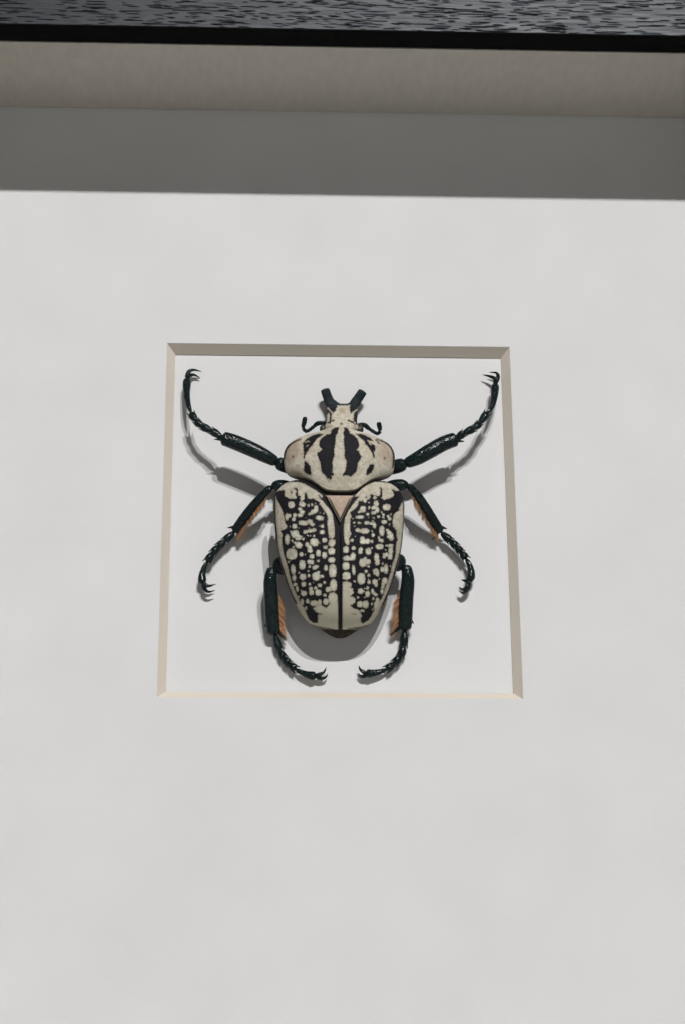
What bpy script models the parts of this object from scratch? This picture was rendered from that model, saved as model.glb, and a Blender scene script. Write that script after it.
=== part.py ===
"""A large flower beetle mounted in a deep shadow-box frame.

Metres, +Z up. The frame stands upright on its bottom rail and faces -Y. The origin is under the
middle of the frame. The beetle is laid out on the backing board in its own measures: x to the
right, v up the board from the middle of the mat's window, and h out of the board, in millimetres.
"""
import math

import bmesh
import bpy
import numpy as np

MM = 0.001
GAP = 0.0003                      # clearance between pieces that touch

# Frame: sight size is the opening inside the lip
SIGHT_WIDTH = 0.318
SIGHT_HEIGHT = 0.374
RAIL_FACE = 0.022                 # width of a rail seen from the front
RAIL_DEPTH = 0.067
LIP_DEPTH = 0.010                 # thickness of the front lip
REBATE = 0.006                    # how far the lip covers the glass and boards
RAIL_EASE = 0.0004                # rounding of the rails' edges
MITRE_GAP = 0.0002

# What the rebate holds, front to back
GLASS = 0.002
MAT_FACE_DEPTH = 0.0558           # from the front of the rails to the mat's face
MAT = 0.0037
BACKING = 0.002
PANEL = 0.003
SPACER = 0.0044
SPACER_RECESS = 0.001             # the spacers' faces lie this far outside the sight edge

# Mat window
WINDOW_WIDTH = 0.125
WINDOW_HEIGHT = 0.1318
WINDOW_TOP_MARGIN = 0.0962        # from the sight edge down to the window
BEVEL_INSET = 0.0029

# Back fittings
TAB = (0.012, 0.018, 0.0007)      # width, length, thickness
HANGER = (0.042, 0.0095, 0.0009)  # width, height, thickness
HANGER_TEETH = 7
TEETH_WIDTH = 0.021               # the row of teeth
TOOTH_HEIGHT = 0.0021
NAIL_SPREAD = 0.016               # each nail's distance from the hanger's middle
NAIL_HEAD = (0.0022, 0.0008)      # radius, thickness
NAIL_SHANK = (0.0008, 0.007)      # radius, length under the head
BUMPER_RADIUS = 0.005

STANDOFF = GAP + HANGER[2] + GAP + NAIL_HEAD[1]
FRONT_Y = -(RAIL_DEPTH + STANDOFF) / 2
RAIL_BACK_Y = FRONT_Y + RAIL_DEPTH
MAT_Y = FRONT_Y + MAT_FACE_DEPTH
BACKING_Y = MAT_Y + MAT + GAP     # face of the board that the beetle is fixed to
PANEL_Y = BACKING_Y + BACKING + GAP
SIGHT_MIDDLE_Z = RAIL_FACE + SIGHT_HEIGHT / 2
WINDOW_Z = RAIL_FACE + SIGHT_HEIGHT - WINDOW_TOP_MARGIN - WINDOW_HEIGHT / 2

# Beetle, in millimetres on the board
PRONOTUM_X = -0.5                 # middle line of the pronotum
HEAD_X = 0.8                      # middle line of the head at its middle
SEAM_X = (-0.8, -0.3)             # the seam's place at v = 0 and at the rear end
SHELL = 0.9                       # thickness of a wing case
SUTURE_GAP = 0.15                 # half of the seam between the wing cases
APEX_V = -43.6                    # rear end of the wing cases
APEX_H = 9.6
DISC_H = 27.0                     # height of the wing cases along the seam
RIM_H = 16.0                      # height of their side rim at the shoulder
BODY_DROP = 1.5                   # how far the body lies under the wing cases' outer face
BODY_SHRINK = (1.09, 1.05)        # and how much narrower and shorter its dome is
BODY_RIM_H = (15.0, 7.8)          # height of the body's side edge, front and rear
BODY_REAR_V = -44.6
BELLY_H = 3.0
BELLY_RISE = 4.0                  # the belly's rise to the rear end
NECK_GAP = 0.95                   # from the pronotum's rear edge back to the body

# Half width of the wing cases, and of the body under them, at places v along the body
ELYTRA_HALF = [(9, 17.0), (6, 20.2), (3, 22.2), (0, 22.75), (-4, 22.6), (-12, 21.9), (-20, 20.5),
               (-27, 18.3), (-34, 15.4), (-38.5, 12.7), (-41, 10.5), (-42.4, 8.6), (-43.6, 6.0)]
BODY_HALF = [(10, 16.2), (5, 18.2), (0, 20.8), (-4, 20.9), (-12, 20.3), (-20, 18.8), (-27, 16.6),
             (-34, 13.6), (-38.5, 11.0), (-42, 8.2), (-44, 5.6), (-45, 2.4)]
# Rear edge of the pronotum on one side: (x, v)
PRONOTUM_REAR = [(0, 0.9), (3, 1.0), (5.4, 1.6), (8, 3.6), (11.3, 6.2), (15.0, 8.2), (18.8, 10.8)]
# Outline of the pronotum's right half from the front middle to the rear middle: (x, v, h)
PRONOTUM_EDGE = [(0, 25.7, 23), (3.5, 25.6, 22.5), (6.5, 24.9, 21), (10.8, 24.0, 20),
                 (14.9, 22.7, 18.5), (17.9, 20.9, 17), (19.3, 18.4, 16), (19.2, 14.6, 16.5),
                 (18.5, 11.0, 18), (16.6, 8.9, 19.5), (11.3, 6.2, 24), (8, 3.6, 26),
                 (5.4, 1.6, 27), (3, 1.0, 27), (0, 0.9, 27)]
PRONOTUM_MIDDLE = (14.5, 28.7, 11.0)     # v, upper height, lower height
# The head hangs down from the pronotum's front edge, so that the horn nearly meets the board
HEAD_EDGE = [(0, 42.8, 3.4), (2.6, 42.8, 3.2), (4.9, 41.2, 3.8), (4.9, 37.4, 7.0),
             (4.9, 33.6, 11.0), (5.6, 31.2, 13.8), (6.1, 29.0, 15.2), (5.6, 27.4, 16.3),
             (3.0, 26.6, 17), (0, 26.4, 17.3)]
HEAD_MIDDLE = (34.0, 14.4, 7.4)
HEAD_LEAN = -0.78                 # change of the head's height with v
HEAD_SLANT = 0.07                 # and of its middle line's x
EYE_X = (-5.9, 6.8)
DOME_STEPS = (1.0, 0.93, 0.78, 0.55, 0.28)      # where a dome's rings lie, from rim to middle
SCUTELLUM = [(-4.9, -0.6), (4.9, -0.6), (0, -11.0)]

PART = bpy.data.collections.new("framed_beetle")
CUTTERS = bpy.data.collections.new("cutters")


def clear_scene():
    """Remove every object and put the two collections in the scene."""
    for thing in list(bpy.data.objects):
        bpy.data.objects.remove(thing)
    for collection in (PART, CUTTERS):
        bpy.context.scene.collection.children.link(collection)


def material(name, colour, roughness, metallic=0.0, transmission=0.0):
    """A Principled material; colour is linear RGB."""
    made = bpy.data.materials.new(name)
    made.use_nodes = True
    shader = made.node_tree.nodes["Principled BSDF"]
    shader.inputs["Base Color"].default_value = (*colour, 1.0)
    shader.inputs["Roughness"].default_value = roughness
    shader.inputs["Metallic"].default_value = metallic
    shader.inputs["Transmission Weight"].default_value = transmission
    return made


WOOD = material("black_stained_wood", (0.02, 0.022, 0.026), 0.45)
CLEAR = material("clear_glass", (0.95, 0.97, 0.96), 0.02, transmission=1.0)
WALL = material("off_white_board", (0.72, 0.69, 0.62), 0.85)
PAPER = material("white_mat", (0.8, 0.79, 0.75), 0.9)
BOARD = material("white_backing", (0.86, 0.85, 0.84), 0.8)
HARDBOARD = material("brown_hardboard", (0.13, 0.07, 0.035), 0.75)
STEEL = material("zinc_plated_steel", (0.55, 0.55, 0.53), 0.35, metallic=1.0)
RUBBER = material("clear_grey_rubber", (0.35, 0.35, 0.34), 0.6)
LEG = material("green_black_shell", (0.012, 0.022, 0.022), 0.22)
CREAM = material("cream_and_black_shell", (0.55, 0.47, 0.37), 0.6)
PINK = material("pinkish_shell", (0.52, 0.39, 0.29), 0.55)
FOAM = material("white_foam", (0.8, 0.8, 0.78), 0.9)


# ---------------------------------------------------------------- general helpers

def place(name, mesh, surface, collection=PART):
    """Make an object of a mesh; a cutter is hidden and drawn as wire."""
    thing = bpy.data.objects.new(name, mesh)
    collection.objects.link(thing)
    if surface:
        mesh.materials.append(surface)
    if collection is CUTTERS:
        thing.hide_render = True
        thing.display_type = "WIRE"
    return thing


def finish_mesh(name, builder):
    """Turn a bmesh into a mesh, with its faces pointing outwards."""
    builder.normal_update()
    bmesh.ops.recalc_face_normals(builder, faces=builder.faces)
    mesh = bpy.data.meshes.new(name)
    builder.to_mesh(mesh)
    builder.free()
    return mesh


def smooth(thing, angle=38):
    """Shade a rounded piece smooth, but keep edges sharper than the angle."""
    thing.data.shade_smooth()
    thing.data.set_sharp_from_angle(angle=math.radians(angle))
    return thing


def box(name, low, high, surface, collection=PART):
    """A box between two corners."""
    builder = bmesh.new()
    bmesh.ops.create_cube(builder, size=1.0)
    low, high = np.array(low), np.array(high)
    for vertex in builder.verts:
        vertex.co = (low + high) / 2 + np.array(vertex.co) * (high - low)
    return place(name, finish_mesh(name, builder), surface, collection)


def rod(name, centre, radius, length, surface, collection=PART, sides=20):
    """A cylinder along Y, between centre and centre + length in Y."""
    builder = bmesh.new()
    bmesh.ops.create_cone(builder, cap_ends=True, segments=sides, radius1=radius,
                          radius2=radius, depth=length)
    for vertex in builder.verts:
        x, y, z = vertex.co
        vertex.co = (centre[0] + x, centre[1] + length / 2 + z, centre[2] + y)
    return place(name, finish_mesh(name, builder), surface, collection)


def boolean(thing, other, operation):
    """Cut other from thing, or join it to thing."""
    step = thing.modifiers.new(other.name, "BOOLEAN")
    step.object = other
    step.operation = operation
    step.solver = "EXACT"


def through(points, count):
    """Points on a Catmull-Rom curve through the given ones, evenly spread by parameter."""
    points = np.array(points, float)
    padded = np.vstack([2 * points[0] - points[1], points, 2 * points[-1] - points[-2]])
    place_on = np.linspace(0, len(points) - 1, count)
    start = np.minimum(place_on.astype(int), len(points) - 2)
    t = (place_on - start)[:, None]
    a, b, c, d = (padded[start + shift] for shift in range(4))
    return 0.5 * (2 * b + (c - a) * t + (2 * a - 5 * b + 4 * c - d) * t ** 2
                  + (3 * b - a - 3 * c + d) * t ** 3)


def board(points):
    """World places of points (x, v, h) given in millimetres on the backing board."""
    points = np.array(points, float)
    x, v, h = points[..., 0], points[..., 1], points[..., 2]
    return np.stack([x * MM, BACKING_Y - h * MM, WINDOW_Z + v * MM], -1)


def half_width(table, v):
    """Half width at v, read between the table's places."""
    table = np.array(table, float)
    return np.interp(-np.asarray(v, float), -table[:, 0], table[:, 1])


def loops_to_mesh(name, rings, first, last):
    """Skin a stack of equal closed rings, and close each end with a fan to a point."""
    builder = bmesh.new()
    rows = [[builder.verts.new(place_on) for place_on in ring] for ring in rings]
    for one, two in zip(rows, rows[1:]):
        for i in range(len(one)):
            j = (i + 1) % len(one)
            builder.faces.new((one[i], one[j], two[j], two[i]))
    for row, end in ((rows[0], first), (rows[-1], last)):
        tip = builder.verts.new(end)
        for i in range(len(row)):
            builder.faces.new((row[i], row[(i + 1) % len(row)], tip))
    return finish_mesh(name, builder)


# ---------------------------------------------------------------- frame

def rail(side, turn, half_across, half_along):
    """A mitred rail with a rebate, turned clockwise from the top side by turn."""
    out = np.array([math.sin(turn), 0, math.cos(turn)])
    along = np.array([math.cos(turn), 0, -math.sin(turn)])
    middle = np.array([0, 0, SIGHT_MIDDLE_Z])

    def bar(name, inner, outer, front, back, square_end, surface, collection):
        """A bar between two reaches outside the sight edge, mitred unless given a square end."""
        builder = bmesh.new()
        bmesh.ops.create_cube(builder, size=2.0)
        for vertex in builder.verts:
            end, y, out_side = vertex.co
            reach = inner if out_side < 0 else outer
            length = half_along + (square_end or reach - MITRE_GAP)
            depth = front if y < 0 else back
            vertex.co = middle + along * end * length + out * (half_across + reach)
            vertex.co.y = depth
        return place(name, finish_mesh(name, builder), surface, collection)

    body = bar("frame_rail_" + side, 0, RAIL_FACE, FRONT_Y, RAIL_BACK_Y, None, WOOD, PART)
    cutter = bar("rebate_" + side, -0.01, REBATE, FRONT_Y + LIP_DEPTH, RAIL_BACK_Y + 0.01,
                 RAIL_FACE + 0.01, None, CUTTERS)
    boolean(body, cutter, "DIFFERENCE")
    ease = body.modifiers.new("ease", "BEVEL")
    ease.width = RAIL_EASE
    ease.segments = 1
    ease.limit_method = "ANGLE"
    ease.angle_limit = math.radians(40)
    return body


def frame():
    """The four mitred rails; returns the top one, which carries the hanger."""
    half_wide, half_high = SIGHT_WIDTH / 2, SIGHT_HEIGHT / 2
    top = rail("top", 0, half_high, half_wide)
    rail("right", math.pi / 2, half_wide, half_high)
    rail("bottom", math.pi, half_high, half_wide)
    rail("left", 3 * math.pi / 2, half_wide, half_high)
    return top


def sheet(name, front, thickness, surface):
    """A flat sheet that fills the rebate."""
    edge = REBATE - GAP
    low = (-SIGHT_WIDTH / 2 - edge, front, RAIL_FACE - edge)
    high = (SIGHT_WIDTH / 2 + edge, front + thickness, RAIL_FACE + SIGHT_HEIGHT + edge)
    return box(name, low, high, surface)


def spacers():
    """Board strips between glass and mat: two long ones, and two between them."""
    front = FRONT_Y + LIP_DEPTH + GAP + GLASS + GAP
    back = MAT_Y - GAP
    inner_x = SIGHT_WIDTH / 2 + SPACER_RECESS
    top = RAIL_FACE + SIGHT_HEIGHT + SPACER_RECESS
    bottom = RAIL_FACE - SPACER_RECESS
    box("spacer_top", (-inner_x - SPACER, front, top), (inner_x + SPACER, back, top + SPACER), WALL)
    box("spacer_bottom", (-inner_x - SPACER, front, bottom - SPACER),
        (inner_x + SPACER, back, bottom), WALL)
    box("spacer_left", (-inner_x - SPACER, front, bottom + GAP), (-inner_x, back, top - GAP), WALL)
    box("spacer_right", (inner_x, front, bottom + GAP), (inner_x + SPACER, back, top - GAP), WALL)


def mat():
    """The mat board, with a window whose edges are cut on a bevel."""
    made = sheet("mat_board", MAT_Y, MAT, PAPER)
    builder = bmesh.new()
    bmesh.ops.create_cube(builder, size=2.0)
    past = 0.001
    slope = BEVEL_INSET / MAT
    for vertex in builder.verts:
        x, y, z = vertex.co
        depth = -past if y < 0 else MAT + past
        inset = slope * depth
        vertex.co = (x * (WINDOW_WIDTH / 2 - inset), MAT_Y + depth,
                     WINDOW_Z + z * (WINDOW_HEIGHT / 2 - inset))
    window = place("mat_window", finish_mesh("mat_window", builder), None, CUTTERS)
    boolean(made, window, "DIFFERENCE")


def tabs():
    """Six flexible tabs that come out of the rebate's wall and lie over the back panel."""
    width, length, thick = TAB
    front = PANEL_Y + PANEL + GAP
    wall_x = SIGHT_WIDTH / 2 + REBATE - GAP
    wall_top = RAIL_FACE + SIGHT_HEIGHT + REBATE - GAP
    wall_bottom = RAIL_FACE - REBATE + GAP
    quarter = SIGHT_HEIGHT / 4
    number = 0
    for side in (-1, 1):
        for z in (SIGHT_MIDDLE_Z - quarter, SIGHT_MIDDLE_Z + quarter):
            number += 1
            x_ends = sorted((side * wall_x, side * (wall_x - length)))
            box(f"back_tab_{number}", (x_ends[0], front, z - width / 2),
                (x_ends[1], front + thick, z + width / 2), STEEL)
    for low, high in ((wall_top - length, wall_top), (wall_bottom, wall_bottom + length)):
        number += 1
        box(f"back_tab_{number}", (-width / 2, front, low), (width / 2, front + thick, high), STEEL)


def flat_plate(name, outline, front, thick, surface):
    """A plate with the outline given in x and z, as a filled curve with thickness."""
    curve = bpy.data.curves.new(name, "CURVE")
    curve.dimensions = "2D"
    curve.fill_mode = "BOTH"
    curve.extrude = thick / 2
    spline = curve.splines.new("POLY")
    spline.points.add(len(outline) - 1)
    for point, (x, z) in zip(spline.points, outline):
        point.co = (x, z, 0, 1)
    spline.use_cyclic_u = True
    drawn = bpy.data.objects.new(name + "_curve", curve)
    PART.objects.link(drawn)
    drawn.rotation_euler = (math.pi / 2, 0, 0)
    drawn.location = (0, front + thick / 2, 0)
    return as_mesh(name, drawn, surface, PART)


def as_mesh(name, drawn, surface, collection):
    """Turn a curve object into a closed mesh object in the same place, and remove the curve."""
    bpy.context.view_layer.update()
    evaluated = drawn.evaluated_get(bpy.context.evaluated_depsgraph_get())
    mesh = bpy.data.meshes.new_from_object(evaluated)
    mesh.transform(drawn.matrix_world)
    builder = bmesh.new()
    builder.from_mesh(mesh)
    bmesh.ops.remove_doubles(builder, verts=builder.verts, dist=0.00001)
    bpy.data.objects.remove(drawn)
    mesh = finish_mesh(name, builder)
    mesh.materials.clear()
    return smooth(place(name, mesh, surface, collection), 50)


def hanger(top_rail):
    """A saw-tooth plate on the top rail's back, held by two nails, and two bumpers below."""
    width, height, thick = HANGER
    low = RAIL_FACE + SIGHT_HEIGHT + (RAIL_FACE + REBATE - height) / 2
    front = RAIL_BACK_Y + GAP
    outline = [(-width / 2, low + height), (-width / 2, low + TOOTH_HEIGHT), (-TEETH_WIDTH / 2, low)]
    for i in range(1, 2 * HANGER_TEETH + 1):
        x = TEETH_WIDTH * (i / (2 * HANGER_TEETH) - 0.5)
        arch = TOOTH_HEIGHT * 0.3 * (1 - (2 * x / TEETH_WIDTH) ** 2)
        outline.append((x, low + arch + (TOOTH_HEIGHT if i % 2 else 0)))
    outline += [(width / 2, low + TOOTH_HEIGHT), (width / 2, low + height)]
    plate = flat_plate("hanger_plate", outline, front, thick, STEEL)
    head_radius, head = NAIL_HEAD
    shank_radius, shank = NAIL_SHANK
    for side, x in (("left", -NAIL_SPREAD), ("right", NAIL_SPREAD)):
        z = low + height * 0.62
        head_front = front + thick + GAP
        nail = rod("hanger_nail_" + side, (x, head_front, z), head_radius, head, STEEL)
        stem = rod("nail_stem_" + side, (x, head_front - shank, z), shank_radius, shank + head / 2,
                   None, CUTTERS, 12)
        boolean(nail, stem, "UNION")
        hole = rod("nail_hole_" + side, (x, head_front - shank - GAP, z), shank_radius + GAP,
                   shank + 2 * GAP, None, CUTTERS, 12)
        boolean(plate, hole, "DIFFERENCE")
        boolean(top_rail, hole, "DIFFERENCE")
    for side, x in (("left", -1), ("right", 1)):
        place_on = (x * (SIGHT_WIDTH / 2 + RAIL_FACE / 2), front, RAIL_FACE / 2)
        rod("back_bumper_" + side, place_on, BUMPER_RADIUS, STANDOFF - GAP, RUBBER)


# ---------------------------------------------------------------- beetle: body

def elytra_height(x, v):
    """Height of the wing cases' outer face: a disc that falls to the side rim and to the apex."""
    back = np.clip(-np.asarray(v, float) / -APEX_V, 0, 1)
    rim = RIM_H - (RIM_H - APEX_H) * back ** 1.5
    top = APEX_H + (DISC_H - APEX_H) * np.sqrt(1 - back ** 3)
    out = np.clip(np.abs(x) / half_width(ELYTRA_HALF, v), 0, 1)
    return rim + (top - rim) * np.sqrt(1 - out ** 2.6)


def seam_x(v):
    """Where the body's middle line lies at v, behind the pronotum."""
    return SEAM_X[0] + (SEAM_X[1] - SEAM_X[0]) * np.asarray(v, float) / APEX_V


def elytron(side, sign):
    """A thin domed shell over one half of the hind body, between its four edges."""
    across, along = 8, 12
    base = through([(5.3, -0.5), (9.0, 3.2), (13.5, 5.4), (17.6, 5.7), (21.2, 4.1)], across)
    seam = [(5.3, -0.5), (3.2, -5.4), (0.45, -11.2), (SUTURE_GAP, -12.5), (SUTURE_GAP, -24),
            (SUTURE_GAP, -34), (SUTURE_GAP, -43.5)]
    seam = np.array([np.interp(np.linspace(0, 1, along), np.linspace(0, 1, len(seam)), column)
                     for column in np.array(seam).T]).T
    v_side = np.linspace(4.1, -42.4, along)
    flank = np.stack([half_width(ELYTRA_HALF, v_side), v_side], -1)
    apex = through([(SUTURE_GAP, -43.5), (3.5, -43.5), (6.3, -43.3), (8.6, -42.4)], across)
    a = np.linspace(0, 1, across)[None, :, None]
    b = np.linspace(0, 1, along)[:, None, None]
    corners = ((1 - a) * (1 - b) * base[0] + a * (1 - b) * base[-1]
               + (1 - a) * b * apex[0] + a * b * apex[-1])
    plan = ((1 - a) * seam[:, None] + a * flank[:, None] + (1 - b) * base[None] + b * apex[None]
            - corners)
    height = elytra_height(plan[..., 0], plan[..., 1])
    x = seam_x(plan[..., 1]) + sign * plan[..., 0]
    points = board(np.stack([x, plan[..., 1], height], -1))
    builder = bmesh.new()
    grid = [[builder.verts.new(place_on) for place_on in row] for row in points]
    for i in range(along - 1):
        for j in range(across - 1):
            corner = (grid[i][j], grid[i][j + 1], grid[i + 1][j + 1], grid[i + 1][j])
            builder.faces.new(corner if sign < 0 else corner[::-1])
    mesh = bpy.data.meshes.new("beetle_elytron_" + side)
    builder.to_mesh(mesh)
    builder.free()
    shell = smooth(place("beetle_elytron_" + side, mesh, CREAM), 60)
    wall = shell.modifiers.new("wall", "SOLIDIFY")
    wall.thickness = SHELL * MM
    wall.offset = -1


def hind_body():
    """Thorax and abdomen: curved stations from behind the pronotum to the tip."""
    half = 9
    turn = np.linspace(0, math.pi, half)
    rear = np.array(PRONOTUM_REAR, float)
    front_v = 6.0
    rings = []
    for s in (0, 0.05, 0.12, 0.2, 0.3, 0.42, 0.54, 0.66, 0.76, 0.85, 0.92, 0.97, 1.0):
        v_middle = front_v + (BODY_REAR_V - front_v) * s
        width = half_width(BODY_HALF, v_middle)
        x = width * np.cos(turn)
        edge_v = np.interp(np.abs(x), rear[:, 0], rear[:, 1]) - NECK_GAP
        v = v_middle + (edge_v - front_v) * (1 - s) ** 4
        back = np.clip(v / BODY_REAR_V, 0, 1)
        rim = BODY_RIM_H[0] - (BODY_RIM_H[0] - BODY_RIM_H[1]) * back ** 1.5
        shrunk = elytra_height(x * BODY_SHRINK[0], v * BODY_SHRINK[1])
        top = np.maximum(shrunk - BODY_DROP, rim + 0.2)
        ends = np.abs(np.cos(turn)) > 0.999
        top = np.where(ends, rim, top)
        belly = BELLY_H + BELLY_RISE * back ** 2
        low = rim - (rim - belly) * (1 - (np.abs(x) / width) ** 1.6)
        upper = np.stack([x + seam_x(v), v, top], -1)
        lower = np.stack([x + seam_x(v), v, low], -1)[::-1][1:-1]
        rings.append(board(np.vstack([upper, lower])))
    first = board([SEAM_X[0], 1.5, 14.0])
    last = board([SEAM_X[1], -44.7, 7.4])
    smooth(place("beetle_hind_body", loops_to_mesh("beetle_hind_body", rings, first, last), LEG))


def pillow(name, edge, middle, axis_x, count, surface, lean=0.0, slant=0.0):
    """A closed dome over and under a rim: height runs from the rim to the middle on a rounded arc.

    The middle's height changes with v by lean, and the middle line's x by slant.
    """
    middle_v, high, low = middle
    half = through(edge, count)
    rim = np.vstack([half, (half * [-1, 1, 1])[::-1][1:-1]])
    centre = np.array([0, middle_v])
    rings = []
    for level, factors in ((low, DOME_STEPS[:0:-1]), (high, DOME_STEPS)):
        for r in factors:
            fall = 1 - math.sqrt(1 - r ** 2.4)
            plan = centre + r * (rim[:, :2] - centre)
            leaning = level + lean * (plan[:, 1] - middle_v)
            height = leaning + (rim[:, 2] - leaning) * fall
            x = plan[:, 0] + axis_x + slant * (plan[:, 1] - middle_v)
            rings.append(board(np.column_stack([x, plan[:, 1], height])))
    first = board([axis_x, middle_v, low])
    last = board([axis_x, middle_v, high])
    return smooth(place(name, loops_to_mesh(name, rings, first, last), surface), 60)


def scutellum():
    """The small triangular plate between the wing cases' bases."""
    outline = np.array(SCUTELLUM, float)
    centre = outline.mean(0)
    rings = []
    for height, grow in ((26.0, 0.9), (26.6, 1.0), (27.0, 0.96)):
        plan = centre + (outline - centre) * grow
        rings.append(board([(x + seam_x(v), v, height) for x, v in plan]))
    middle_x = float(seam_x(centre[1]))
    first = board([middle_x, centre[1], 26.0])
    last = board([middle_x, centre[1], 27.4])
    place("beetle_scutellum", loops_to_mesh("beetle_scutellum", rings, first, last), PINK)


# ---------------------------------------------------------------- beetle: limbs

def tube(name, points, radii, surface, collection, sides=2):
    """A tube with filled ends through points on the board, with a radius at each, as a mesh."""
    curve = bpy.data.curves.new(name, "CURVE")
    curve.dimensions = "3D"
    curve.bevel_depth = MM
    curve.bevel_resolution = sides
    curve.use_fill_caps = True
    spline = curve.splines.new("POLY")
    spline.points.add(len(points) - 1)
    for point, place_on, radius in zip(spline.points, board(points), radii):
        point.co = (*place_on, 1)
        point.radius = radius
    drawn = bpy.data.objects.new(name + "_curve", curve)
    collection.objects.link(drawn)
    return as_mesh(name, drawn, surface, collection)


def leg(name, femur, tibia, tarsus, claws, spines, thigh, shin):
    """A leg of femur, tibia, five-jointed tarsus, two claws, and spines, joined in one solid."""
    body = tube(name, femur, [thigh * part for part in (0.62, 0.9, 1.0, 0.8)], LEG, PART)
    joined = [tube(name + "_tibia", tibia, [shin * part for part in (0.62, 0.85, 1.0, 1.0, 0.85)],
                   None, CUTTERS)]
    path = through(tarsus, 14)
    swell = [1.0, 1.45, 0.85, 1.45, 0.8, 1.4, 0.8, 1.35, 0.75, 0.9, 1.0, 1.15, 1.3, 0.9]
    joined.append(tube(name + "_tarsus", path, swell, None, CUTTERS))
    for number, claw in enumerate(claws):
        joined.append(tube(f"{name}_claw_{number}", [tarsus[-1], *claw], (0.7, 0.6, 0.45, 0.18),
                           None, CUTTERS, 1))
    for number, (root, tip) in enumerate(spines):
        joined.append(tube(f"{name}_spine_{number}", [root, tip], (0.8, 0.2), None, CUTTERS, 1))
    for other in joined:
        boolean(body, other, "UNION")


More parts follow.
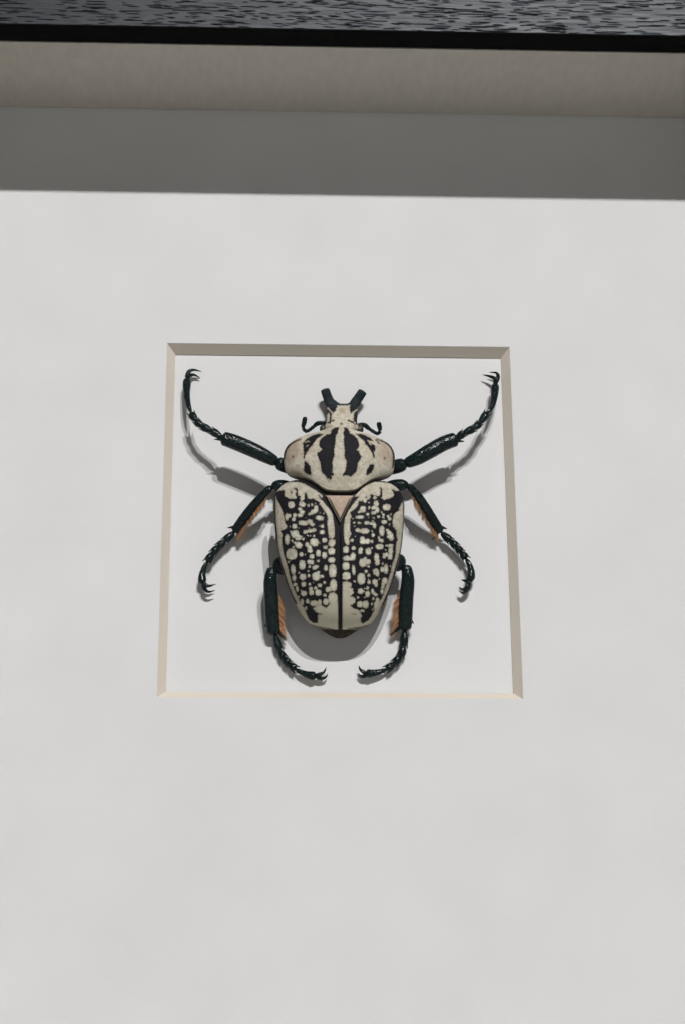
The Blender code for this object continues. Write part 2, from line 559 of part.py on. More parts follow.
def legs():
    """The six legs; the left and right ones were set slightly differently when it was mounted."""
    leg("beetle_foreleg_left",
        [(-9.5, 15.4, 6.6), (-14.5, 15.6, 8.9), (-19.5, 16.0, 11.3), (-23.0, 16.8, 12.5)],
        [(-22.2, 16.6, 12.4), (-26.5, 18.9, 12.8), (-31.5, 21.4, 13), (-37.2, 23.9, 13),
         (-42.0, 25.6, 13)],
        [(-41.6, 25.6, 12.8), (-45.4, 28.5, 12), (-48.8, 30.6, 11), (-51.2, 33.3, 10),
         (-53.0, 36.9, 8.5), (-54.6, 42.8, 6.5), (-54.9, 48.7, 4.5), (-55.0, 52.4, 3.6)],
        [[(-54.4, 54.8, 3.4), (-52.6, 55.7, 3.2), (-49.8, 55.3, 2.6)],
         [(-53.8, 53.9, 2.4), (-52.4, 54.3, 1.8), (-50.3, 53.4, 1.2)]],
        [((-40.0, 24.8, 13), (-44.6, 25.1, 12.6)), ((-33.0, 22.6, 13), (-36.2, 25.4, 13))],
        2.6, 2.6)
    leg("beetle_foreleg_right",
        [(9.5, 15.4, 6.6), (14.5, 15.6, 8.9), (19.8, 16.0, 11.3), (23.4, 16.8, 12.5)],
        [(22.6, 16.5, 12.4), (27.0, 18.5, 12.8), (32.0, 21.5, 13), (37.0, 24.4, 13),
         (41.5, 26.0, 13)],
        [(41.0, 25.9, 12.8), (43.7, 28.3, 12.5), (47.6, 30.7, 11.5), (50.0, 33.6, 10),
         (53.1, 38.2, 8.5), (55.2, 41.8, 7.2), (56.2, 47.6, 5.4), (56.8, 51.4, 4.2)],
        [[(56.6, 53.4, 3.6), (54.6, 54.6, 3.0), (52.3, 55.4, 2.4)],
         [(57.8, 54.0, 3.9), (57.3, 55.8, 3.2), (54.8, 56.3, 2.6)]],
        [((40.0, 25.2, 13), (43.9, 25.2, 12.6)), ((33.0, 22.6, 13), (36.6, 25.8, 13))],
        2.6, 2.6)
    leg("beetle_midleg_left",
        [(-8.0, 4.2, 3.6), (-13.5, 6.4, 7.0), (-19.0, 8.1, 10.8), (-24.4, 8.0, 12.3)],
        [(-24.2, 8.0, 12.2), (-28.1, 3.8, 11.0), (-31.6, 0.1, 8.8), (-35.0, -3.8, 6.0),
         (-37.1, -6.6, 4.2)],
        [(-37.1, -6.4, 4.2), (-40.2, -9.5, 4.0), (-42.5, -11.7, 3.9), (-44.5, -14.2, 3.8),
         (-46.4, -17.4, 3.8), (-47.7, -20.6, 3.7), (-48.0, -23.3, 3.6), (-47.4, -25.1, 3.6)],
        [[(-46.6, -25.9, 3.7), (-45.2, -26.0, 3.7), (-43.1, -25.3, 3.6)],
         [(-47.1, -26.9, 3.5), (-45.7, -28.1, 3.4), (-43.4, -27.5, 3.2)]],
        [((-35.8, -4.6, 5.0), (-39.5, -5.1, 4.8)), ((-36.2, -5.8, 4.2), (-34.7, -8.9, 3.4))],
        2.4, 1.9)
    leg("beetle_midleg_right",
        [(7.4, 4.2, 3.6), (12.8, 6.4, 7.0), (18.2, 8.5, 10.8), (23.9, 9.0, 12.3)],
        [(23.7, 9.0, 12.2), (27.2, 5.0, 11.0), (30.5, 0.6, 8.8), (33.5, -3.3, 6.0),
         (35.7, -6.0, 4.2)],
        [(35.7, -6.0, 4.2), (38.8, -8.9, 4.0), (40.9, -11.0, 3.9), (42.6, -13.2, 3.8),
         (44.3, -15.6, 3.8), (45.6, -18.3, 3.7), (45.9, -21.2, 3.6), (45.1, -24.1, 3.6)],
        [[(44.4, -25.5, 3.7), (43.0, -26.7, 3.7), (41.4, -25.8, 3.6)],
         [(44.6, -26.3, 3.4), (43.0, -27.9, 3.2), (41.4, -26.9, 3.0)]],
        [((34.6, -3.8, 5.0), (37.8, -4.9, 4.8)), ((34.8, -5.2, 4.2), (32.6, -8.6, 3.4)),
         ((44.9, -24.0, 3.6), (42.4, -23.1, 3.5))],
        2.4, 1.9)
    leg("beetle_hindleg_left",
        [(-9.0, -11.5, 3.4), (-14.0, -15.8, 5.0), (-19.2, -19.4, 7.8), (-23.6, -20.8, 9.9)],
        [(-23.7, -21.0, 9.8), (-24.4, -25.6, 9.4), (-24.0, -32.0, 7.6), (-23.6, -38.4, 5.2),
         (-23.0, -43.6, 3.4)],
        [(-22.7, -43.2, 3.2), (-20.9, -48.4, 2.6), (-19.3, -51.2, 2.5), (-17.3, -53.5, 2.5),
         (-15.0, -55.4, 2.5), (-12.4, -56.8, 2.5), (-10.0, -57.5, 2.6), (-8.0, -57.7, 2.6)],
        [[(-7.0, -57.2, 2.8), (-5.6, -56.4, 2.9), (-4.7, -54.6, 2.9)],
         [(-6.9, -58.3, 2.3), (-5.1, -58.1, 2.2), (-4.2, -56.7, 2.2)]],
        [((-21.8, -42.0, 3.8), (-18.3, -45.4, 3.2)), ((-24.4, -38.0, 5.2), (-26.4, -41.0, 4.6))],
        3.4, 2.5)
    leg("beetle_hindleg_right",
        [(8.6, -11.3, 3.4), (13.6, -15.0, 5.0), (18.4, -18.0, 7.8), (22.4, -19.4, 9.9)],
        [(22.6, -19.8, 9.8), (23.3, -25.0, 9.4), (22.7, -31.7, 7.6), (22.5, -37.1, 5.2),
         (22.3, -41.6, 3.4)],
        [(22.3, -40.9, 3.4), (21.9, -46.7, 2.6), (20.8, -50.3, 2.5), (18.5, -53.1, 2.5),
         (15.7, -55.3, 2.5), (12.6, -56.3, 2.5), (10.2, -56.7, 2.6), (8.8, -56.8, 2.6)],
        [[(8.1, -56.3, 2.8), (6.9, -55.4, 2.9), (6.4, -54.0, 2.9)],
         [(8.2, -57.6, 2.3), (7.0, -57.5, 2.2), (6.1, -56.5, 2.2)]],
        [((21.1, -40.1, 3.9), (17.2, -43.5, 3.2)), ((23.2, -36.2, 5.4), (25.4, -39.6, 4.7))],
        3.4, 2.5)


def head():
    """The head with the two arms of its horn and the eyes, one solid."""
    body = pillow("beetle_head", HEAD_EDGE, HEAD_MIDDLE, HEAD_X, 13, CREAM, HEAD_LEAN, HEAD_SLANT)
    horns = ([(-1.9, 39.8, 5.0), (-2.9, 42.3, 3.9), (-3.9, 44.7, 4.0), (-4.7, 46.6, 4.8),
              (-5.2, 48.0, 5.4)],
             [(4.2, 39.8, 5.0), (5.4, 42.5, 3.9), (6.8, 44.7, 4.0), (7.9, 46.2, 4.8),
              (8.7, 47.4, 5.4)])
    for number, path in enumerate(horns):
        arm = tube(f"horn_arm_{number}", path, (1.2, 1.6, 1.5, 1.5, 1.4), None, CUTTERS)
        boolean(body, arm, "UNION")
    for number, x in enumerate(EYE_X):
        eye = tube(f"eye_{number}", [(x, 29.8, 14.2), (x, 29.1, 14.6), (x, 27.9, 14.7), (x, 27.0, 14.4)],
                   (0.5, 1.3, 1.3, 0.5), None, CUTTERS)
        boolean(body, eye, "UNION")


def antennae():
    """Two short elbowed feelers, each ending in a club."""
    radii = (0.55, 0.8, 0.75, 0.45, 0.42, 0.55, 0.85, 0.8, 0.4)
    tube("beetle_antenna_left",
         [(-5.5, 31.1, 13.8), (-7.0, 31.2, 13.8), (-8.4, 30.8, 13.6), (-10.3, 29.1, 13.4),
          (-12.0, 28.2, 13.3), (-13.2, 29.5, 13.3), (-12.8, 31.0, 13.4), (-12.5, 32.5, 13.5),
          (-12.5, 33.6, 13.6)], radii, LEG, PART, 1)
    tube("beetle_antenna_right",
         [(6.85, 30.7, 13.8), (8.4, 30.6, 13.8), (9.8, 29.6, 13.6), (11.2, 28.6, 13.4),
          (13.1, 27.6, 13.3), (14.2, 28.6, 13.3), (13.9, 30.1, 13.4), (13.7, 31.0, 13.5),
          (13.7, 31.9, 13.6)], radii, LEG, PART, 1)


def peg():
    """The short foam peg that holds the body off the board."""
    gap = GAP / MM
    tube("beetle_mount_peg", [(SEAM_X[0], -6, gap), (SEAM_X[0], -6, BELLY_H - 2 * gap)], (4.0, 3.2),
         FOAM, PART)


clear_scene()
TOP_RAIL = frame()
sheet("glazing_glass", FRONT_Y + LIP_DEPTH + GAP, GLASS, CLEAR)
spacers()
mat()
sheet("backing_board", BACKING_Y, BACKING, BOARD)
sheet("back_panel", PANEL_Y, PANEL, HARDBOARD)
tabs()
hanger(TOP_RAIL)
hind_body()
for SIDE, SIGN in (("left", -1), ("right", 1)):
    elytron(SIDE, SIGN)
pillow("beetle_pronotum", PRONOTUM_EDGE, PRONOTUM_MIDDLE, PRONOTUM_X, 19, CREAM)
scutellum()
head()
antennae()
legs()
peg()
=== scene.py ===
"""The finished surfaces of a large flower beetle mounted in a deep, glazed shadow-box frame.

Lengths are in metres. On the specimen they are in millimetres: x to the right, v up the backing
board from the middle of the mat's window, and h out of the board towards the viewer.

Most of the specimen's points (x, v, h) began as the output of scratch scripts, which worked them
out from places read off the picture by eye and heights chosen by hand. About half of the legs'
points and most of the feelers' still stand as computed; the others were changed or set one by
one.
"""
import math

import bpy
import numpy as np
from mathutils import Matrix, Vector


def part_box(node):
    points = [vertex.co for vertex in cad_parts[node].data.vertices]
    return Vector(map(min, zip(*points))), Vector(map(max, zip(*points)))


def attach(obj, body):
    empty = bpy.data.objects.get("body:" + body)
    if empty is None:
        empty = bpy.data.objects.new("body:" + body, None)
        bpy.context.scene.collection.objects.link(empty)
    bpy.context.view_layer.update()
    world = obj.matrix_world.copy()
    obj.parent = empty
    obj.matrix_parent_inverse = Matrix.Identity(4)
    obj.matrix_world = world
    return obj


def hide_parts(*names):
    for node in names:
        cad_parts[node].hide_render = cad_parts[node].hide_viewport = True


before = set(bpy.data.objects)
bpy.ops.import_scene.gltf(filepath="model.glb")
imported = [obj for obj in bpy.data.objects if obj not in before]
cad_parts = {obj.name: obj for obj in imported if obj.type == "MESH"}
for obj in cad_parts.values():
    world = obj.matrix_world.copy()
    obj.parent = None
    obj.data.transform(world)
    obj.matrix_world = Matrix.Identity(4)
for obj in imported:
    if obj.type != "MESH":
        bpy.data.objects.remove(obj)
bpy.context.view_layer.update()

# ---- Camera. It stands low in front of the glass and looks up at the specimen, turned a little to
# the right; a fit to the corners of the mat's window placed it. The beetle's markings are drawn as
# they are seen from here, in the 685 x 1024 picture, and then lie on the shell itself.
PICTURE = (685, 1024)
LENS = 63.914
SENSOR = 36.0
camera_data = bpy.data.cameras.new("front_view")
camera_data.lens = LENS
camera_data.sensor_width = SENSOR
camera = bpy.data.objects.new("front_view", camera_data)
camera.location = (-0.02341, -0.58432, 0.02363)
camera.rotation_euler = [math.radians(angle) for angle in (109.2761, 0.2871, -2.2093)]
bpy.context.scene.collection.objects.link(camera)
bpy.context.scene.camera = camera
bpy.context.scene.view_settings.view_transform = "Standard"


def in_picture(points):
    """Where world points fall in the picture: turned to the camera's axes and divided by depth."""
    turn = np.array(camera.rotation_euler.to_matrix())
    seen = (points - np.array(camera.location)) @ turn
    scale = LENS / SENSOR * PICTURE[1] / -seen[..., 2]
    return np.stack([PICTURE[0] / 2 + scale * seen[..., 0],
                     PICTURE[1] / 2 - scale * seen[..., 1]], -1)


# ---- Studio. A pale grey floor that the frame stands on, an even pale surround, two small lamps
# high in front that throw the rails' and the beetle's shadows, and broad soft lamps for the gloss.
FLOOR_SIZE = 6.0


def plain_material(name, colour, roughness):
    """A material with a Principled shader of one colour and roughness, for nodes to build on."""
    made = bpy.data.materials.new(name)
    made.use_nodes = True
    shader = made.node_tree.nodes["Principled BSDF"]
    shader.inputs["Base Color"].default_value = (*colour, 1.0)
    shader.inputs["Roughness"].default_value = roughness
    return made


def add_node(material, kind, settings=(), **inputs):
    """Add a shader node. settings are its own properties; inputs are values or sockets by name."""
    made = material.node_tree.nodes.new(kind)
    for key, value in dict(settings).items():
        setattr(made, key, value)
    for key, value in inputs.items():
        name = key.replace("_", " ") if not key.startswith("in") else int(key[2:])
        socket = made.inputs[name]
        if isinstance(value, bpy.types.NodeSocket):
            material.node_tree.links.new(value, socket)
        else:
            socket.default_value = value
    return made


def feed(material, **inputs):
    """Connect sockets to the material's Principled shader."""
    shader = material.node_tree.nodes["Principled BSDF"]
    for key, socket in inputs.items():
        material.node_tree.links.new(socket, shader.inputs[key.replace("_", " ")])


def object_noise(material, scale, detail=3.0, stretch=(1, 1, 1), roughness=0.5, source=None):
    """Noise over the piece's own coordinates, or over another vector socket."""
    place = source or add_node(material, "ShaderNodeTexCoord").outputs["Object"]
    if stretch != (1, 1, 1):
        place = add_node(material, "ShaderNodeMapping", Vector=place, Scale=stretch).outputs[0]
    noise = add_node(material, "ShaderNodeTexNoise", Vector=place, Scale=scale, Detail=detail,
                     Roughness=roughness)
    return noise.outputs["Fac"]


def ramp(material, fac, stops):
    """A colour ramp through (place, colour) stops."""
    made = add_node(material, "ShaderNodeValToRGB", Fac=fac)
    marks = made.color_ramp.elements
    while len(marks) < len(stops):
        marks.new(0.5)
    for mark, (place, colour) in zip(marks, stops):
        mark.position = place
        mark.color = (*colour, 1.0)
    return made.outputs["Color"]


def between(material, fac, low, high, out_low=0.0, out_high=1.0):
    """Rescale a value from low..high to out_low..out_high with soft ends."""
    made = add_node(material, "ShaderNodeMapRange", {"interpolation_type": "SMOOTHSTEP"},
                    Value=fac, in1=low, in2=high, in3=out_low, in4=out_high)
    return made.outputs["Result"]


def mixed(material, fac, first, second, blend="MIX"):
    """Mix two colours; each may be a socket or a colour."""
    made = add_node(material, "ShaderNodeMix", {"data_type": "RGBA", "blend_type": blend}, in0=fac)
    for index, value in ((6, first), (7, second)):
        if isinstance(value, bpy.types.NodeSocket):
            material.node_tree.links.new(value, made.inputs[index])
        else:
            made.inputs[index].default_value = (*value, 1.0)
    return made.outputs[2]


def summed(material, first, second, operation="ADD"):
    """Combine two values with a maths node."""
    return add_node(material, "ShaderNodeMath", {"operation": operation}, in0=first,
                    in1=second).outputs[0]


def bumped(material, height, distance, strength=1.0, normal=None):
    """A bump normal from a height value; distance is the height's size in metres."""
    made = add_node(material, "ShaderNodeBump", Height=height, Distance=distance, Strength=strength)
    if normal:
        material.node_tree.links.new(normal, made.inputs["Normal"])
    return made.outputs["Normal"]


floor_material = plain_material("studio_floor", (0.33, 0.33, 0.32), 0.7)
floor_noise = object_noise(floor_material, 2.0)
feed(floor_material, Base_Color=ramp(floor_material, floor_noise,
                                     [(0.3, (0.31, 0.31, 0.3)), (0.7, (0.35, 0.35, 0.34))]))
floor_mesh = bpy.data.meshes.new("studio_floor")
half = FLOOR_SIZE / 2
floor_mesh.from_pydata([(-half, -half, 0), (half, -half, 0), (half, half, 0), (-half, half, 0)],
                       [], [(0, 1, 2, 3)])
floor_mesh.materials.append(floor_material)
floor = bpy.data.objects.new("studio_floor", floor_mesh)
bpy.context.scene.collection.objects.link(floor)

surround = bpy.data.worlds.new("surround")
bpy.context.scene.world = surround
surround.use_nodes = True
surround.node_tree.nodes["Background"].inputs["Color"].default_value = (1.0, 0.965, 0.925, 1.0)
surround_light = add_node(surround, "ShaderNodeMapRange", in1=0.0, in2=1.0, in3=0.05, in4=0.6,
                          Value=add_node(surround, "ShaderNodeLightPath").outputs["Is Camera Ray"])
surround.node_tree.links.new(surround_light.outputs["Result"],
                             surround.node_tree.nodes["Background"].inputs["Strength"])


def lamp(name, azimuth, elevation, distance, size, power, aim=(0.0, 0.02, 0.23)):
    """A square area lamp on a sphere about the mat's window, facing it; angles in degrees from
    straight ahead. It lights the shells and the wood, but the glass doesn't mirror its shape."""
    data = bpy.data.lights.new(name, "AREA")
    data.size = size
    data.energy = power
    data.cycles.use_multiple_importance_sampling = False
    made = bpy.data.objects.new(name, data)
    across, up = math.radians(azimuth), math.radians(elevation)
    away = np.array([math.sin(across) * math.cos(up), -math.cos(across) * math.cos(up),
                     math.sin(up)])
    made.location = np.array(aim) + distance * away
    made.rotation_euler = (math.radians(90) - up, 0, across)
    bpy.context.scene.collection.objects.link(made)


lamp("key_left", 5.5, 32.4, 12.0, 0.1, 890.0)
lamp("key_right", 13.0, 32.4, 12.0, 0.1, 812.0)
lamp("soft_left", -108.0, 28.0, 1.8, 1.0, 5.0)
lamp("soft_right", 108.0, 28.0, 1.8, 1.0, 11.0)
lamp("soft_behind", 165.0, 35.0, 2.2, 1.4, 16.0)

# ---- Rails. Four lengths of open-grained ash with a deep rebate behind the lip, mitred and glued.
# The black stain leaves the open pores as darker dashes, under a thin satin lacquer.
TOP_LOW, TOP_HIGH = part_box("frame_rail_top")
BOTTOM_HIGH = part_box("frame_rail_bottom")[1]
RAIL_FACE = TOP_HIGH.z - TOP_LOW.z
FRONT_Y, RAIL_BACK_Y = TOP_LOW.y, TOP_HIGH.y
HALF_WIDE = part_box("frame_rail_right")[0].x
HALF_HIGH = (TOP_LOW.z - BOTTOM_HIGH.z) / 2
SIGHT_MIDDLE_Z = (TOP_LOW.z + BOTTOM_HIGH.z) / 2
LIP_DEPTH = 0.010
REBATE = 0.006
MITRE_GAP = 0.0002
EASE = 0.0005                     # rounding of the rails' edges
RAIL_COLUMNS = 440
PORE_LANE = 0.00036               # distance between rows of pores
PORE_CELL = 0.0042                # about half the length of a pore
PORE_DEPTH = 0.00007
PORE_ROWS = 900                   # rows with random values of their own
PORE_CELLS = 320                  # random values along each row
PORE_LEVEL = 0.69                 # about the value above which a pore opens
PORE_EDGE = 0.12                  # rise in the value from a pore's edge to its full depth
FIRST_ROW = 400                   # keeps the row numbers above zero
PAST_END = 0.25                   # more than half a rail's length, which keeps the cells above zero
ROW_SHIFT = 50                    # cells by which a row is shifted at most
RAIL_STEPS = (0.0003, 0.0008, 0.002, 0.01, 0.002, 0.0005)      # point spacing on each side


def skin(name, grids, wrap=True, toward=None):
    """A mesh of grids of points. Neighbours make quads. A wrapped grid is a tube: its last column
    joins its first, a face closes each end ring, and it is turned so that it encloses a positive
    volume. Where toward is given, an open grid is turned so that its faces look that way."""
    points, faces, first = [], [], 0
    for grid in grids:
        rows, columns = grid.shape[:2]
        number = np.arange(rows * columns).reshape(rows, columns)
        ring = np.hstack([number, number[:, :1]]) if wrap else number
        quads = np.stack([ring[:-1, :-1], ring[:-1, 1:], ring[1:, 1:], ring[1:, :-1]], -1)
        quads = quads.reshape(-1, 4)
        flat = grid.reshape(-1, 3)
        a, b, c, d = np.moveaxis(flat[quads] - flat.mean(0), 1, 0)
        if toward is None:
            outward = (np.cross(a, b) * c).sum() + (np.cross(a, c) * d).sum()
        else:
            outward = (np.cross(c - a, d - b) * np.array(toward)).sum()
        caps = [number[0, ::-1], number[-1]] if wrap else []
        if outward < 0:
            quads = quads[:, ::-1]
            caps = [cap[::-1] for cap in caps]
        faces += (quads + first).tolist() + [(cap + first).tolist() for cap in caps]
        points.append(flat)
        first += rows * columns
    mesh = bpy.data.meshes.new(name)
    mesh.from_pydata(np.vstack(points).tolist(), [], faces)
    mesh.shade_smooth()
    return mesh


def mark(mesh, name, values):
    """Store one value for each point of a mesh, for its material to read."""
    layer = mesh.attributes.new(name, "FLOAT", "POINT")
    layer.data.foreach_set("value", np.ravel(values).astype(np.float32))


def finished(name, mesh, material, slot, *nodes):
    """Put a piece in the scene, on the one body, in place of the CAD nodes that it stands for."""
    made = bpy.data.objects.new(name, mesh)
    bpy.context.scene.collection.objects.link(made)
    mesh.materials.append(material)
    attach(made, "root")
    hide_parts(*nodes)
    return made


def eased_outline(corners, steps):
    """A closed outline with square corners: each corner is a quarter circle of radius EASE, and the
    side after it is cut into equal steps of about the given length."""
    corners = np.array(corners, float)
    loop = []
    for number, (corner, step) in enumerate(zip(corners, steps)):
        last = corners[number - 1] - corner
        after = corners[(number + 1) % len(corners)] - corner
        length = np.abs(after).sum()
        last, after = last / np.abs(last).sum(), after / length
        turn = np.radians([0, 30, 60, 90])[:, None]
        loop.append(corner + EASE * (last * (1 - np.sin(turn)) + after * (1 - np.cos(turn))))
        count = int((length - 2 * EASE) / step)
        loop.append(corner + after * np.linspace(EASE, length - EASE, count + 1)[1:-1, None])
    return np.vstack(loop)


def pores(along, across, draw):
    """How deep in a pore each point is, from 0 to 1. The grain's rows wander as slow sines of the
    distance along; in each row random values between cells are dashes where they pass a level."""
    flow = (0.0011 * np.sin(along * 21 + draw.random() * 6)
            + 0.0007 * np.sin(along * 47 + 60 * across) + 0.012 * along)
    lane = (across + flow) / PORE_LANE + FIRST_ROW
    row = lane.astype(int)
    table = draw.random((PORE_ROWS, PORE_CELLS))
    place = (along + PAST_END) / PORE_CELL + draw.random(PORE_ROWS)[row] * ROW_SHIFT
    cell = place.astype(int)
    t = place - cell
    t = t * t * (3 - 2 * t)
    value = table[row, cell] * (1 - t) + table[row, cell + 1] * t
    middle = 1 - np.abs(2 * (lane - row) - 1) ** 2
    level = PORE_LEVEL + 0.07 * np.sin(across * 900 + 3 * np.sin(along * 30))
    return np.clip((value - level) / PORE_EDGE, 0, 1) * middle


def rail_surface(turn, half_across, half_along, draw):
    """A rail: the eased L-shaped outline carried along, its ends cut at 45 degrees, and the pores
    sunk into it. turn is clockwise from the top rail."""
    corners = [(0, FRONT_Y), (RAIL_FACE, FRONT_Y), (RAIL_FACE, RAIL_BACK_Y), (REBATE, RAIL_BACK_Y),
               (REBATE, FRONT_Y + LIP_DEPTH), (0, FRONT_Y + LIP_DEPTH)]
    outline = eased_outline(corners, RAIL_STEPS)
    step = np.roll(outline, -1, 0) - np.roll(outline, 1, 0)
    normal = np.stack([-step[:, 1], step[:, 0]], -1) / np.linalg.norm(step, axis=1)[:, None]
    around = np.concatenate([[0], np.linalg.norm(np.diff(outline, axis=0), axis=1).cumsum()])
    reach = outline[:, 0]
    share = np.linspace(-1, 1, RAIL_COLUMNS)[:, None]
    along = share * (half_along + reach - MITRE_GAP)
    around = np.broadcast_to(around, along.shape)
    pore = pores(along, around, draw)
    sunk = outline + PORE_DEPTH * pore[..., None] * normal
    out_way = np.array([math.sin(turn), 0, math.cos(turn)])
    along_way = np.array([math.cos(turn), 0, -math.sin(turn)])
    points = (along[..., None] * along_way + (half_across + sunk[..., :1]) * out_way
              + sunk[..., 1:] * np.array([0, 1, 0]) + np.array([0, 0, SIGHT_MIDDLE_Z]))
    on_lip = (reach < EASE) & (outline[:, 1] < FRONT_Y + LIP_DEPTH + EASE)
    return points, pore, along, around, np.broadcast_to(on_lip, along.shape)


def fix(material, **values):
    """Set constants on the material's Principled shader."""
    shader = material.node_tree.nodes["Principled BSDF"]
    for key, value in values.items():
        shader.inputs[key.replace("_", " ")].default_value = value


def stored(material, name):
    """The value that mark stored under a name for each point of the mesh."""
    return add_node(material, "ShaderNodeAttribute", {"attribute_name": name}).outputs["Fac"]


def object_axis(material, axis):
    """One of the piece's own coordinates: X, Y or Z."""
    place = add_node(material, "ShaderNodeTexCoord").outputs["Object"]
    return add_node(material, "ShaderNodeSeparateXYZ", Vector=place).outputs[axis]


wood = plain_material("black_stained_ash", (0.03, 0.033, 0.04), 0.42)
fix(wood, Specular_IOR_Level=0.165)
pore_value = stored(wood, "pore")
grain_place = add_node(wood, "ShaderNodeUVMap", {"uv_map": "grain"}).outputs["UV"]
streaks = object_noise(wood, 1.0, 5.0, (40.0, 900.0, 1.0), 0.6, grain_place)
from_left = object_axis(wood, "X")
clouds = object_noise(wood, 1.0, 2.0, (14.0, 60.0, 1.0), 0.5, grain_place)
wood_colour = mixed(wood, between(wood, streaks, 0.3, 0.7), (0.001, 0.0015, 0.003),
                (0.02, 0.026, 0.035))
wood_colour = mixed(wood, between(wood, clouds, 0.35, 0.7, 0.0, 0.45), wood_colour, (0.018, 0.019, 0.021))
# Painted reflection: towards the right the wood is painted lighter and bluer, standing in for light
# gleaming off the lacquer.
wood_colour = mixed(wood, between(wood, from_left, -0.16, 0.1, 0.0, 0.7), wood_colour, (0.044, 0.052, 0.06))
lip_value = stored(wood, "inner_face")
fine_pores = object_noise(wood, 1.0, 2.0, (120.0, 3300.0, 1.0), 0.5, grain_place)
wood_colour = mixed(wood, between(wood, fine_pores, 0.5, 0.6, 0.0, 0.9), wood_colour,
                (0.001, 0.001, 0.0015))
# Painted shade: the lip's inner face, which faces down into shadow, is painted near black.
wood_colour = mixed(wood, lip_value, wood_colour, (0.0012, 0.0012, 0.0012))
feed(wood, Base_Color=mixed(wood, pore_value, wood_colour, (0.0015, 0.0015, 0.002)),
     Roughness=summed(wood, between(wood, streaks, 0.3, 0.7, 0.38, 0.5),
                      summed(wood, pore_value, lip_value)),
     Normal=bumped(wood, streaks, 0.00004))
draw = np.random.default_rng(11)
for side, turn, half_across, half_along in (("top", 0, HALF_HIGH, HALF_WIDE),
                                            ("right", math.pi / 2, HALF_WIDE, HALF_HIGH),
                                            ("bottom", math.pi, HALF_HIGH, HALF_WIDE),
                                            ("left", 3 * math.pi / 2, HALF_WIDE, HALF_HIGH)):
    points, pore, along, around, inner_face = rail_surface(turn, half_across, half_along, draw)
    mesh = skin("stained_rail_" + side, [points])
    mark(mesh, "pore", pore)
    mark(mesh, "inner_face", inner_face)
    corner_point = np.empty(len(mesh.loops), np.int32)
    mesh.loops.foreach_get("vertex_index", corner_point)
    flat_map = np.stack([along.ravel(), around.ravel()], -1)[corner_point]
    mesh.uv_layers.new(name="grain").data.foreach_set("uv", flat_map.astype(np.float32).ravel())
    mesh.set_sharp_from_angle(angle=math.radians(50))
    finished("stained_rail_" + side, mesh, wood, "frame_wood", "frame_rail_" + side)


# ---- Glazing. One flat sheet of picture glass that lies in the rebate against the lip. It reflects
# and refracts what the camera sees; the light of the lamps and off the boards passes straight
# through, a little dimmed.
def give(node, material):
    """Give a carried-over CAD node its finish."""
    bpy.data.objects[node].material_slots[0].material = material


glass = plain_material("picture_glass", (1.0, 0.995, 0.99), 0.0)
glass_shader = glass.node_tree.nodes["Principled BSDF"]
glass_shader.inputs["Transmission Weight"].default_value = 1.0
glass_shader.inputs["IOR"].default_value = 1.5
clear_pane = add_node(glass, "ShaderNodeBsdfTransparent", Color=(0.935, 0.93, 0.925, 1.0))
ray = add_node(glass, "ShaderNodeLightPath").outputs
seen_ray = summed(glass, ray["Is Camera Ray"], ray["Is Transmission Ray"], "MAXIMUM")
pane = add_node(glass, "ShaderNodeMixShader", in0=seen_ray, in1=clear_pane.outputs[0],
                in2=glass_shader.outputs[0])
glass.node_tree.links.new(pane.outputs[0], glass.node_tree.nodes["Material Output"].inputs[0])
give("glazing_glass", glass)


# ---- Spacers. Strips of off-white board, cut from mat board and stood on edge between the glass
# and the mat, with a faintly mottled, fibrous face.
spacer_board = plain_material("spacer_board", (0.56, 0.53, 0.47), 0.85)
spacer_mottle = object_noise(spacer_board, 420.0, 4.0, (1.0, 0.35, 1.0))
spacer_fibre = object_noise(spacer_board, 5200.0, 2.0)
feed(spacer_board, Base_Color=ramp(spacer_board, spacer_mottle, [(0.25, (0.52, 0.49, 0.43)),
                                                                 (0.75, (0.59, 0.56, 0.5))]),
     Normal=bumped(spacer_board, spacer_fibre, 0.00008))
for side in ("top", "bottom", "left", "right"):
    give("spacer_" + side, spacer_board)


# ---- Mat. Thick off-white mat board with a fine tooth, laid flat on the backing. Its window is cut
# on a bevel, which bares the creamier core under the white face paper.
MAT_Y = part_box("mat_board")[0].y
FACE_PAPER = 0.00018              # thickness of the mat's face paper
mat = plain_material("mat_board", (0.78, 0.78, 0.775), 0.9)
depth_in = object_axis(mat, "Y")
mat_tooth = object_noise(mat, 2600.0, 3.0)
mat_clouds = object_noise(mat, 35.0, 2.0)
face_colour = ramp(mat, mat_clouds, [(0.3, (0.65, 0.655, 0.66)), (0.7, (0.68, 0.685, 0.695))])
core_colour = ramp(mat, mat_tooth, [(0.3, (0.63, 0.57, 0.49)), (0.7, (0.68, 0.62, 0.54))])
core = between(mat, depth_in, MAT_Y + FACE_PAPER, MAT_Y + 1.3 * FACE_PAPER)
feed(mat, Base_Color=mixed(mat, core, face_colour, core_colour),
     Normal=bumped(mat, mat_tooth, 0.00006, 0.8))
give("mat_board", mat)


# ---- Backing. Smooth white board that closes the window behind the specimen, with a fine eggshell
# surface.
backing = plain_material("backing_card", (0.79, 0.79, 0.78), 0.75)
backing_grain = object_noise(backing, 3400.0, 2.0)
feed(backing, Base_Color=ramp(backing, object_noise(backing, 28.0, 2.0),
                              [(0.3, (0.65, 0.655, 0.66)), (0.7, (0.67, 0.675, 0.68))]),
     Normal=bumped(backing, backing_grain, 0.00003, 0.6))
give("backing_board", backing)


